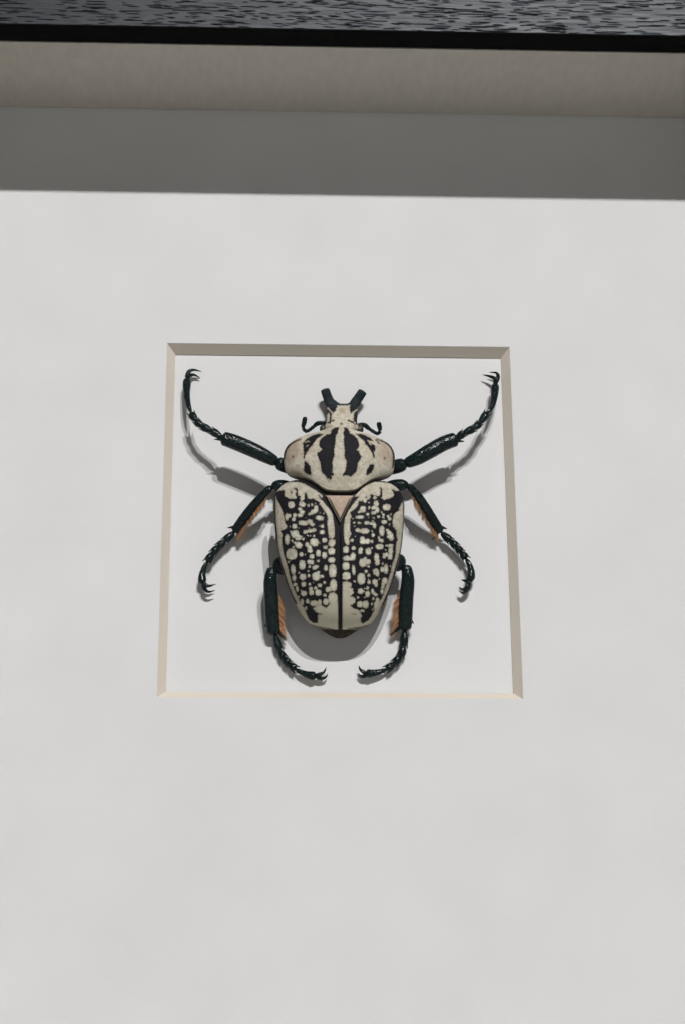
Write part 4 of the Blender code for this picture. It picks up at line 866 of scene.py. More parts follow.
# Outline of its right half from the front middle to the rear middle: (x, v, h)
PRONOTUM_EDGE = [(0, 25.7, 23), (3.5, 25.6, 22.5), (6.5, 24.9, 21), (10.8, 24.0, 20),
                 (14.9, 22.7, 18.5), (17.9, 20.9, 17), (19.3, 18.4, 16), (19.2, 14.6, 16.5),
                 (18.5, 11.0, 18), (16.6, 8.9, 19.5), (11.3, 6.2, 24), (8, 3.6, 26),
                 (5.4, 1.6, 27), (3, 1.0, 27), (0, 0.9, 27)]
PRONOTUM_MIDDLE = (14.5, 28.7, 11.0)      # v, upper height, lower height
PRONOTUM_BLACK = [
    [(339.5, 427.3), (338.5, 430), (337.8, 433), (337.2, 435), (336, 436), (335.7, 439),
     (335.6, 443), (334.9, 446.5), (334.2, 450), (334.3, 454), (334.7, 457.2), (333.5, 458),
     (333.3, 460.5), (332.3, 462.3), (332.6, 465), (333, 467.5), (332.6, 470), (332.2, 473),
     (334, 474.5), (333.3, 476.3), (331.5, 476.3), (332, 479), (330.5, 480), (329.4, 481.5),
     (329, 479), (328.4, 479.8), (326.8, 478.5), (325.8, 476.5), (324.3, 475), (322, 473),
     (321.5, 470.5), (321, 467), (320.5, 463), (319.3, 460.5), (318, 457), (317.2, 454),
     (319, 452.8), (322.5, 450.5), (321.5, 449), (319.3, 446.7), (319.5, 443), (320.5, 440.3),
     (322, 438.8), (324.5, 437), (327, 435.3), (331, 434.7), (331.5, 431.5), (333.5, 429.3),
     (336.5, 427.8)],
    [(343.5, 426.5), (345.5, 427.8), (348, 429.5), (349.2, 431.8), (349.7, 434), (352, 434.9),
     (354.5, 436.8), (356.8, 438.8), (358, 441), (359, 444.5), (359.2, 447.5), (357.5, 449.2),
     (356.4, 450.5), (358.5, 452), (359.8, 454.5), (360, 456), (361.8, 457), (360.7, 458.3),
     (360.5, 460.3), (359, 461.8), (357.8, 464), (357.3, 467), (357, 470), (356.2, 472.5),
     (354.5, 474), (352.5, 476), (350.3, 477.5), (348.7, 476.5), (346.5, 476), (343.2, 476.6),
     (342.7, 475), (344.6, 473.2), (345.3, 471.5), (346.2, 468), (346.5, 464), (346.8, 461.5),
     (345.3, 459.5), (344.3, 456.5), (344.8, 453), (344.6, 449), (344, 445), (343.8, 441),
     (344, 438), (344.3, 435.8), (343, 434.7), (343.8, 432.5), (344.6, 430), (343.9, 428)],
    [(318.5, 434.5), (323.5, 434.8), (320.5, 437), (317, 439.5), (314.5, 443), (312.5, 445.8),
     (310, 448.5), (308.8, 450.5), (306.8, 453.5), (305.3, 456), (304.9, 459), (304.2, 459.5),
     (303.8, 457), (304.1, 454), (303.7, 450), (303.4, 446), (303.3, 443.5), (305, 441.8),
     (308, 439), (311, 437), (314.5, 435.5)],
    [(304.5, 461.8), (306.5, 462.5), (309, 465), (310.7, 468), (310.9, 471), (311.6, 474.5),
     (310.8, 475.6), (307.5, 475.2), (304.8, 472.5), (303.9, 470.5), (304.6, 466)],
    [(355.8, 434.8), (362, 434.8), (367, 437), (371, 439.2), (373, 441.8), (370, 441.5),
     (368, 440.5), (367.3, 441.5), (368.8, 444), (369.8, 445.8), (371.5, 446.3), (370.8, 443.6),
     (372, 445), (374.5, 446), (375.2, 448.5), (375, 451), (373.5, 453), (374.3, 455),
     (374.8, 458), (374.2, 459.3), (373.2, 457.5), (372.6, 454.5), (370.8, 451.5),
     (369.5, 449.5), (368, 447), (365.3, 445), (364.8, 442.5), (362, 439.8), (359, 437.5)],
    [(370.5, 465), (373.8, 465.2), (374, 467.5), (372.8, 470.5), (371.5, 473.5), (368.5, 474.8),
     (367.8, 476.3), (366.2, 475.2), (366.6, 472), (367.3, 469.5), (369, 467)]]
PRONOTUM_CREAM_LINES = [[(305.8, 443.3, 0.5), (307.5, 442, 0.5), (309.8, 442.5, 0.4)],
                        [(306.8, 447.2, 0.4), (308.5, 445.8, 0.4)]]
PRONOTUM_LINES = [[(301, 439.8, 0.4), (295, 442.3, 0.6), (290, 445.6, 0.9), (286.8, 449.4, 1),
                   (285.2, 454, 0.8), (284.8, 460, 0.5)],
                  [(376, 440, 0.3), (381, 441.5, 0.5), (386, 443.7, 0.6), (390, 446.7, 1),
                   (392.7, 451, 1.2), (394, 456, 1.1), (393.6, 462, 0.9), (392.8, 468, 0.6)],
                  [(376, 441, 0.4), (379.5, 444.3, 0.3)]]
PRONOTUM_TINTS = [(293, 452, 7, 13, 20), (384, 455, 7, 14, -20), (300, 474, 5, 4)]
PRONOTUM_DOTS = [(293.2, 457.5, 0.6, 0.9), (384.6, 459, 0.5, 0.9)]
PRONOTUM_POINTS = (420, 110, 26)  # points around, and rings over and under the rim
WELT_SHARE = 0.985                # a thin welt and a groove run inside the rim, at these shares
WELT_HIGH = 0.07
RIM_GROOVE_SHARE = 0.95
RIM_GROOVE_DEEP = 0.04
WELT_WIDE = 0.012


def pillow_surface(edge, middle, axis_x, columns, upper, lower, lean=0.0, slant=0.0):
    """A closed dome over and under a rim. A point at share r from the middle to the rim has height
    level + (rim - level)(1 - sqrt(1 - r^2.4)); rings run from under the middle out over the rim
    and in again to the top. The level changes with v by lean, and the middle line's x by slant.
    Returns the points on the board and each one's r."""
    middle_v, high, low = middle
    half = through(edge, columns // 2 + 1)
    rim = np.vstack([half, (half * [-1, 1, 1])[::-1][1:-1]])
    centre = np.array([0, middle_v])
    outward = np.concatenate([np.sin(np.linspace(0.02, math.pi / 2, lower)),
                              np.sin(np.linspace(math.pi / 2, 0.004, upper))[1:]])
    level = np.where(np.arange(len(outward)) < lower, low, high)
    r = outward[:, None]
    fall = 1 - np.sqrt(1 - np.clip(r, 0, 1) ** 2.4)
    plan = centre + r[..., None] * (rim[None, :, :2] - centre)
    from_middle = plan[..., 1] - middle_v
    leaning = level[:, None] + lean * from_middle
    height = leaning + (rim[None, :, 2] - leaning) * fall
    points = np.stack([plan[..., 0] + axis_x + slant * from_middle, plan[..., 1], height], -1)
    return points, np.broadcast_to(np.where(np.arange(len(outward)) < lower, 2 - outward,
                                            outward)[:, None], height.shape)


points, out = pillow_surface(PRONOTUM_EDGE, PRONOTUM_MIDDLE, PRONOTUM_X, *PRONOTUM_POINTS)
points[..., 2] += (WELT_HIGH * np.exp(-((out - WELT_SHARE) / WELT_WIDE) ** 2)
                   - RIM_GROOVE_DEEP * np.exp(-((out - RIM_GROOVE_SHARE) / WELT_WIDE) ** 2))
seen = wandered(in_picture(board(points)))
black = np.full(out.shape, OUTSIDE)
for outline in PRONOTUM_BLACK:
    black = np.maximum(black, patch(seen, outline))
for line in PRONOTUM_CREAM_LINES:
    black = np.minimum(black, -stroke(seen, line))
for line in PRONOTUM_LINES:
    black = np.maximum(black, stroke(seen, line))
for dot in PRONOTUM_DOTS:
    black = np.maximum(black, spot(seen, *dot))
black = np.maximum(black, (out - 1.004) * 60)
mesh = skin("thorax_shield", [board(points)])
mark(mesh, "cream", np.clip(-black, -FIELD_LIMIT, FIELD_LIMIT))
mark(mesh, "warm", np.ones(out.shape))
tint = [spot(seen, *place) / 6 for place in PRONOTUM_TINTS]
mark(mesh, "tint", np.clip(np.max(tint, 0), 0, 0.35))
finished("thorax_shield", mesh, shell, "patterned_shell", "beetle_pronotum")


# ---- Scutellum. The small hard triangle between the bases of the wing cases: a pinkish inner
# triangle, a dark groove along each side of it, and a thin browner border that ends in a dark edge.
SCUTELLUM = [(-4.9, -0.6), (4.9, -0.6), (0, -11.0)]
GROOVE_SHARE = 0.75                # places from the middle to the side: the groove, the dark edge
EDGE_SHARE = 0.95
LINE_SHARE = 0.05                 # how wide the groove and the soft edges are
PLATE_TOP = 27.4
PLATE_UNDER = 26.0
PLATE_GROOVE = 0.2                # depth of the groove
SIDES_BELOW_V = -0.9              # the front side lies above this and has no groove
UNDER_RINGS = 6
TOP_RINGS = 90
corner = np.array(SCUTELLUM)
side_share = np.linspace(0, 1, 60)[:-1, None]
ends = zip(corner, np.roll(corner, -1, 0))
outline = np.vstack([start + side_share * (end - start) for start, end in ends])
centre = corner.mean(0)
share = np.concatenate([np.linspace(0.05, 1, UNDER_RINGS), np.linspace(1, 0.03, TOP_RINGS)[1:]])
share = share[:, None]
on_top = np.arange(len(share))[:, None] >= UNDER_RINGS
eased = 0.5 * np.clip((share - 0.93) / 0.07, 0, 1) ** 2
height = np.where(on_top, PLATE_TOP - 0.35 * share ** 2 - eased, PLATE_UNDER)
sides = (outline[:, 1] < SIDES_BELOW_V).astype(float)
groove = np.exp(-((share - GROOVE_SHARE) / LINE_SHARE) ** 2) * sides
groove = groove * np.clip((-0.4 - centre[1] - share * (outline[:, 1] - centre[1])) / 3, 0.2, 1)
dark_edge = np.clip((share - EDGE_SHARE) / LINE_SHARE, 0, 1) * sides
plan = centre + share[..., None] * (outline - centre)
plan = np.stack([plan[..., 0] + seam_x(plan[..., 1]), plan[..., 1]], -1)
points = np.concatenate([plan, (height - PLATE_GROOVE * groove)[..., None]], -1)
mesh = skin("scutellum_plate", [board(points)])
mark(mesh, "groove", np.clip(groove * 1.2 + dark_edge, 0, 1))
border = np.clip((share - GROOVE_SHARE) / LINE_SHARE, 0, 1) * sides
mark(mesh, "border", border * np.clip(0.4 - plan[..., 1] / 9, 0.4, 0.95))
plate = plain_material("scutellum_shell", (0.38, 0.29, 0.22), 0.55)
fix(plate, Specular_IOR_Level=0.3)
groove_value = stored(plate, "groove")
border_value = stored(plate, "border")
plate_mottle = object_noise(plate, 900.0, 4.0)
plate_colour = ramp(plate, plate_mottle, [(0.3, (0.34, 0.25, 0.185)), (0.7, (0.46, 0.355, 0.27))])
plate_colour = mixed(plate, border_value, plate_colour, (0.05, 0.042, 0.034))
feed(plate, Base_Color=mixed(plate, groove_value, plate_colour, (0.025, 0.016, 0.010)),
     Normal=bumped(plate, object_noise(plate, 4200.0, 2.0), 0.00004, 0.7))
finished("scutellum_plate", mesh, plate, "scutellum", "beetle_scutellum")


# ---- Head. One hard capsule that hangs down from the pronotum, with the forked horn of a male: two
# black square-ended arms with a rounded notch between them, a cream brow and cream cheeks, with an
# olive-black eye at each side.
HEAD_X = 0.65
HEAD_EDGE = [(0, 42.8, 3.4), (2.6, 42.8, 3.2), (5.4, 41.2, 3.8), (5.6, 37.4, 7.0),
             (5.5, 33.6, 11.0), (5.6, 31.2, 13.8), (6.1, 29.0, 15.2), (5.6, 27.4, 16.3),
             (3.0, 26.6, 17), (0, 26.4, 17.3)]
HEAD_MIDDLE = (34.0, 14.4, 7.4)
HEAD_LEAN = -0.78
HEAD_SLANT = 0.07
HORN_ARMS = ([(-1.9, 39.8, 5.0), (-2.9, 42.3, 3.9), (-3.9, 44.7, 4.0), (-4.7, 46.6, 4.8),
              (-5.2, 48.0, 5.4)],
             [(4.2, 39.8, 5.0), (5.4, 42.5, 3.9), (6.8, 44.7, 4.0), (7.9, 46.2, 4.8),
              (8.7, 47.4, 5.4)])
HORN_HALF = (1.3, 1.75, 1.7, 1.65, 1.6)
HORN_NOTCH = [(-2.4, 44.3, 4.0), (-1.2, 42.8, 4.0), (0.3, 41.9, 4.1), (1.7, 41.7, 4.1),
              (3.3, 42.0, 4.1), (4.8, 43.0, 4.0), (5.8, 44.2, 4.0)]
HORN_NOTCH_HALF = (0.8, 0.8)
EYE_X = (-5.9, 6.8)
EYE_ROUTE = [(29.8, 14.2), (29.1, 14.6), (27.9, 14.7), (27.0, 14.4)]
EYE_HALVES = (1.2, 1.35, 1.35, 1.2)
HEAD_VOXEL = 0.0002
CREAM_OVER_RIM = 0.5              # the cream starts this far above the rim
TEAL_ROW = 412                    # above this picture row the black turns teal
TEAL_FADE = 8
HEAD_CREAM = [(337.3, 406.3), (340, 405.8), (348, 405.8), (350.3, 405.2), (349.8, 409),
              (350.3, 412), (351, 414), (353.8, 413.5), (354.8, 417), (355.2, 421), (355.8, 424),
              (359, 426), (359, 442), (325, 442), (325.5, 426), (326.5, 424), (327, 421),
              (327, 416), (328.4, 413.2), (333, 413.7), (335.3, 411.5), (336.6, 409)]
HEAD_LINES = [[(328, 423.6, 0.7), (334, 421, 0.5)], [(348.5, 421, 0.6), (354, 423.5, 0.8)],
              [(329.8, 412, 0.9), (330.8, 415, 0.9), (330.6, 419.5, 0.8), (330, 424, 0.6)],
              [(355.2, 413, 0.8), (354.8, 417, 0.9), (354.6, 421, 0.9), (355.2, 425, 0.7)],
              [(334, 405.9, 0.3), (351, 405.6, 0.3)]]
# Painted highlights: thin cream lines where light catches the head's edge ridges, and one glint
# dot; (x, y, half width) along each
HEAD_PAINTED_HIGHLIGHTS = [[(328, 409, 0.9), (333, 414, 0.8)], [(357, 410.5, 0.9), (352, 414, 0.8)],
               [(354.5, 423.3, 0.6), (354.9, 423.7, 0.6)]]
HEAD_DOT = (341.5, 424.5, 0.9, 0.8)
PIT_SIZE = 0.16                   # smallest reach of a dimple in a limb; the largest is twice this
PIT_DEPTH = 0.1
HEAD_TINTS = [(329.4, 428, 4.5, 4.5), (354.5, 428, 3.5, 4), (342, 411, 4, 4)]


def limb(route, halves, rings=40, around=20, flat=0.85, square=2.0, blunt=0.16, pits=0, draw=None):
    """An oval tube along a smooth curve through the route. Its half widths are read between the
    given ones, its thickness is flat times that, and square above 2 makes it boxier. Both ends
    close in a rounded cap over the share blunt, and pits is a number of small random dimples."""
    path = through(route, rings)
    half = through(np.array(halves, float)[:, None], rings)[:, 0]
    ahead = np.gradient(path, axis=0)
    ahead /= np.linalg.norm(ahead, axis=1)[:, None]
    sideways = np.cross(ahead, [0, 0, 1.0])
    sideways /= np.linalg.norm(sideways, axis=1)[:, None] + 1e-9
    upwards = np.cross(sideways, ahead)
    share = np.linspace(0, 1, rings)
    end = np.minimum(share, 1 - share) / blunt
    close = np.sqrt(np.clip(1 - (1 - np.clip(end, 0, 1)) ** 2, 0.003, 1))
    turn = np.linspace(0, 2 * math.pi, around, endpoint=False)
    c, s = np.cos(turn), np.sin(turn)
    bulge = (np.abs(c) ** square + np.abs(s) ** square) ** (-1 / square)
    radius = (half * close)[:, None] * bulge
    length = np.linalg.norm(path[-1] - path[0])
    for _ in range(pits):
        at = draw.random()
        angle = draw.random() * 2 * math.pi
        size = PIT_SIZE + PIT_SIZE * draw.random()
        off_turn = (turn - angle + math.pi) % (2 * math.pi) - math.pi
        away = ((share - at)[:, None] * length) ** 2 + (off_turn * half.mean()) ** 2
        radius = radius - PIT_DEPTH * np.exp(-away / size ** 2) * close[:, None]
    return (path[:, None] + sideways[:, None] * (radius * c)[..., None]
            + upwards[:, None] * (radius * s * flat)[..., None])


def fused(name, grids, voxel):
    """One closed mesh grown from overlapping tubes, remade from voxels and smoothed."""
    rough = bpy.data.objects.new(name + "_rough", skin(name + "_rough", grids))
    bpy.context.scene.collection.objects.link(rough)
    grow = rough.modifiers.new("fuse", "REMESH")
    grow.mode = "VOXEL"
    grow.voxel_size = voxel
    even = rough.modifiers.new("even", "SMOOTH")
    even.factor = 0.5
    even.iterations = 5
    bpy.context.view_layer.update()
    graph = bpy.context.evaluated_depsgraph_get()
    mesh = bpy.data.meshes.new_from_object(rough.evaluated_get(graph))
    mesh.name = name
    mesh.shade_smooth()
    bpy.data.objects.remove(rough)
    return mesh


points, out = pillow_surface(HEAD_EDGE, HEAD_MIDDLE, HEAD_X, 160, 50, 30, HEAD_LEAN, HEAD_SLANT)
grids = [limb(route, HORN_HALF, 40, 24, 0.85, 2.8, 0.1) for route in HORN_ARMS]
grids.append(limb(HORN_NOTCH, HORN_NOTCH_HALF, 40, 16, 1.2))
mesh = fused("head_capsule", [board(points), *(board(grid) for grid in grids)], HEAD_VOXEL)
place = np.empty(len(mesh.vertices) * 3, np.float32)
mesh.vertices.foreach_get("co", place)
place = place.reshape(-1, 3).astype(float)
height = (BACKING_Y - place[:, 1]) / MM
rim_v, rim_h = np.array(HEAD_EDGE, float)[::-1, 1:].T
above_rim = height - np.interp((place[:, 2] - WINDOW_Z) / MM, rim_v, rim_h)
seen = wandered(in_picture(place))
cream = np.minimum(patch(seen, HEAD_CREAM), (above_rim - CREAM_OVER_RIM) * 2)
for line in HEAD_LINES:
    cream = np.minimum(cream, -stroke(seen, line))
# Painted highlights: the ridge lines and the glint are drawn in cream over the black.
for line in HEAD_PAINTED_HIGHLIGHTS:
    cream = np.maximum(cream, stroke(seen, line))
cream = np.minimum(cream, -spot(seen, *HEAD_DOT))
tint = [spot(seen, *place_seen) / 5 for place_seen in HEAD_TINTS]
mark(mesh, "cream", np.clip(cream, -FIELD_LIMIT, FIELD_LIMIT))
mark(mesh, "warm", np.full(len(place), 0.8))
mark(mesh, "teal", np.clip((TEAL_ROW - seen[:, 1]) / TEAL_FADE, 0, 1))
mark(mesh, "tint", np.clip(np.max(tint, 0), 0, 0.5))
finished("head_capsule", mesh, shell, "patterned_shell", "beetle_head")
eye = plain_material("beetle_eye", (0.03, 0.032, 0.022), 0.25)
facets = add_node(eye, "ShaderNodeTexVoronoi", Vector=add_node(
    eye, "ShaderNodeTexCoord").outputs["Object"], Scale=9000.0).outputs["Distance"]
feed(eye, Base_Color=ramp(eye, facets, [(0.1, (0.045, 0.045, 0.03)), (0.6, (0.02, 0.022, 0.016))]),
     Normal=bumped(eye, facets, 0.00003))
eyes = [limb([(x, *place) for place in EYE_ROUTE], EYE_HALVES, 24, 24, 1.0, blunt=0.45)
        for x in EYE_X]
finished("compound_eyes", skin("compound_eyes", [board(grid) for grid in eyes]), eye,
         "patterned_shell", "beetle_head")


# ---- Feelers. Two short elbowed antennae of glossy black joints, each with a club of three leaves.
# Points (x, v, h) from the head outwards; the top of this file says where they come from
ANTENNAE = {"left": [(-4.6, 31.1, 13.8), (-7.0, 31.2, 13.8), (-8.4, 30.8, 13.6),
                     (-10.3, 29.1, 13.4), (-12.0, 28.2, 13.3), (-13.2, 29.5, 13.3),
                     (-12.8, 31.0, 13.4), (-12.5, 32.5, 13.5), (-12.5, 33.6, 13.6)],
            "right": [(5.8, 30.6, 13.8), (8.4, 30.6, 13.8), (9.8, 29.6, 13.6), (11.2, 28.6, 13.4),
                      (13.1, 27.6, 13.3), (14.2, 28.6, 13.3), (13.9, 30.1, 13.4),
                      (13.7, 31.0, 13.5), (13.7, 31.9, 13.6)]}
FEELER_JOINTS = 7
SCAPE_HALVES = (0.6, 0.8, 0.85, 0.75, 0.6)
JOINT_HALVES = (0.62, 0.74, 0.64)
LEAF_HALVES = (0.45, 0.58, 0.5)
LEAF_STEP = 0.3                   # distance between the club's leaves
limb_shell = plain_material("green_black_shell", (0.008, 0.014, 0.014), 0.18)
limb_grain = object_noise(limb_shell, 1500.0, 3.0)
limb_pits = object_noise(limb_shell, 1500.0, 2.0)
feed(limb_shell, Base_Color=ramp(limb_shell, limb_grain, [(0.3, (0.002, 0.0045, 0.005)),
                                                          (0.7, (0.005, 0.016, 0.0175))]),
     Roughness=between(limb_shell, limb_grain, 0.3, 0.7, 0.07, 0.16),
     Normal=bumped(limb_shell, limb_pits, 0.00016))
fix(limb_shell, Specular_IOR_Level=0.24)
for side, route in ANTENNAE.items():
    route = np.array(route)
    scape = np.vstack([route[:3], route[2] + 0.3 * (route[3] - route[2])])
    grids = [limb(scape, SCAPE_HALVES, 24, 12, 1.0, blunt=0.16)]
    stem = through(route[2:6], 4 * FEELER_JOINTS + 1)
    for joint in range(FEELER_JOINTS):
        part = stem[joint * 4:joint * 4 + 6]
        grids.append(limb(part, JOINT_HALVES, 10, 10, 1.0, blunt=0.4))
    for leaf in (-LEAF_STEP, 0.0, LEAF_STEP):
        club = route[5:] + [leaf, 0, leaf * 0.5]
        grids.append(limb(club, LEAF_HALVES, 18, 12, 0.75, blunt=0.3))
    finished("feeler_" + side, skin("feeler_" + side, [board(grid) for grid in grids]), limb_shell,
             "dark_shell", "beetle_antenna_" + side)


# ---- Hind body. Thorax and abdomen under the wing cases, one glossy dark body with the grooves of
# its rings across the belly, and a brown last plate that shows behind the wing cases.
BODY_HALF = [(10, 18.8), (5, 20.2), (0, 21.2), (-4, 21.0), (-12, 20.3), (-20, 18.8), (-27, 16.6),
             (-34, 13.6), (-38.5, 11.0), (-42, 7.5), (-43.4, 5.5), (-44.7, 3.5), (-45.8, 1.2)]
BODY_FRONT = [(0, 0.9), (3, 1.0), (5.4, 1.6), (8, 3.6), (11.3, 6.2), (15.0, 8.2), (17.0, 9.4),
              (18.4, 9.3), (19.6, 8.0), (20.6, 5.6)]
BODY_DROP = 1.5
BODY_SHRINK = (1.09, 1.05)
BODY_RIM_H = (15.0, 7.8)
BODY_REAR_V = -45.6
BELLY_H = 3.0
BELLY_RISE = 4.0
NECK_GAP = 0.95
BODY_FRONT_V = 6.0
RING_WIDE = 0.35
RING_DEEP = 0.3
BODY_POINTS = (150, 70)           # stations along the body, and points on each arc
RING_V = (-13.0, -18.5, -23.5, -28.5, -33.5, -38.5)


def hind_body_surface(stations, half_count):
    """Stations from behind the pronotum to the tip. Each is an upper arc under the wing cases'
    dome and a lower arc that bows down to the belly, and the first ones follow the pronotum's rear
    edge. Grooves cross the belly at the rings."""
    turn = np.linspace(0, math.pi, half_count)
    front = np.array(BODY_FRONT, float)
    s = (1 - np.cos(np.linspace(0.15, math.pi, stations)))[:, None] / 2
    s = (s - s[0]) / (s[-1] - s[0])
    v_middle = BODY_FRONT_V + (BODY_REAR_V - BODY_FRONT_V) * s
    width = half_width(BODY_HALF, v_middle)
    x = width * np.cos(turn)
    edge_v = np.interp(np.abs(x), front[:, 0], front[:, 1]) - NECK_GAP
    v = v_middle + (edge_v - BODY_FRONT_V) * (1 - s) ** 4
    back = np.clip(v / BODY_REAR_V, 0, 1)
    rim = BODY_RIM_H[0] - (BODY_RIM_H[0] - BODY_RIM_H[1]) * back ** 1.5
    top = np.maximum(elytra_height(x * BODY_SHRINK[0], v * BODY_SHRINK[1]) - BODY_DROP, rim + 0.2)
    top = np.where(np.abs(np.cos(turn)) > 0.9999, rim, top)
    belly = BELLY_H + BELLY_RISE * back ** 2
    low = rim - (rim - belly) * (1 - (np.abs(x) / width) ** 1.6)
    groove = sum(np.exp(-((v - ring - 0.02 * x ** 2 / 4) / RING_WIDE) ** 2) for ring in RING_V)
    low = low + RING_DEEP * groove * (1 - (np.abs(x) / width) ** 6)
    upper = np.stack([x + seam_x(v), v, top], -1)
    lower = np.stack([x + seam_x(v), v, low], -1)[:, ::-1][:, 1:-1]
    return np.concatenate([upper, lower], 1)


points = hind_body_surface(*BODY_POINTS)
mesh = skin("hind_body", [board(points)])
body_shell = plain_material("olive_black_shell", (0.014, 0.016, 0.011), 0.28)
fix(body_shell, Specular_IOR_Level=0.2)
body_grain = object_noise(body_shell, 1300.0, 3.0)
body_place = object_axis(body_shell, "Z")
last_plate = between(body_shell, body_place, WINDOW_Z - 0.0415, WINDOW_Z - 0.0428)
body_colour = ramp(body_shell, body_grain,
                   [(0.3, (0.008, 0.009, 0.006)), (0.7, (0.022, 0.024, 0.016))])
front_flank = between(body_shell, body_place, WINDOW_Z + 0.002, WINDOW_Z + 0.005)
olive_flank = ramp(body_shell, body_grain,
                   [(0.3, (0.008, 0.009, 0.005)), (0.7, (0.035, 0.037, 0.022))])
body_colour = mixed(body_shell, front_flank, body_colour, olive_flank)
brown_plate = ramp(body_shell, body_grain,
                   [(0.3, (0.03, 0.022, 0.013)), (0.7, (0.085, 0.064, 0.038))])
feed(body_shell, Base_Color=mixed(body_shell, last_plate, body_colour, brown_plate),
     Roughness=between(body_shell, body_grain, 0.3, 0.7, 0.4, 0.6),
     Normal=bumped(body_shell, object_noise(body_shell, 3600.0, 2.0), 0.00006, 0.8))
finished("hind_body", mesh, body_shell, "dark_shell", "beetle_hind_body")


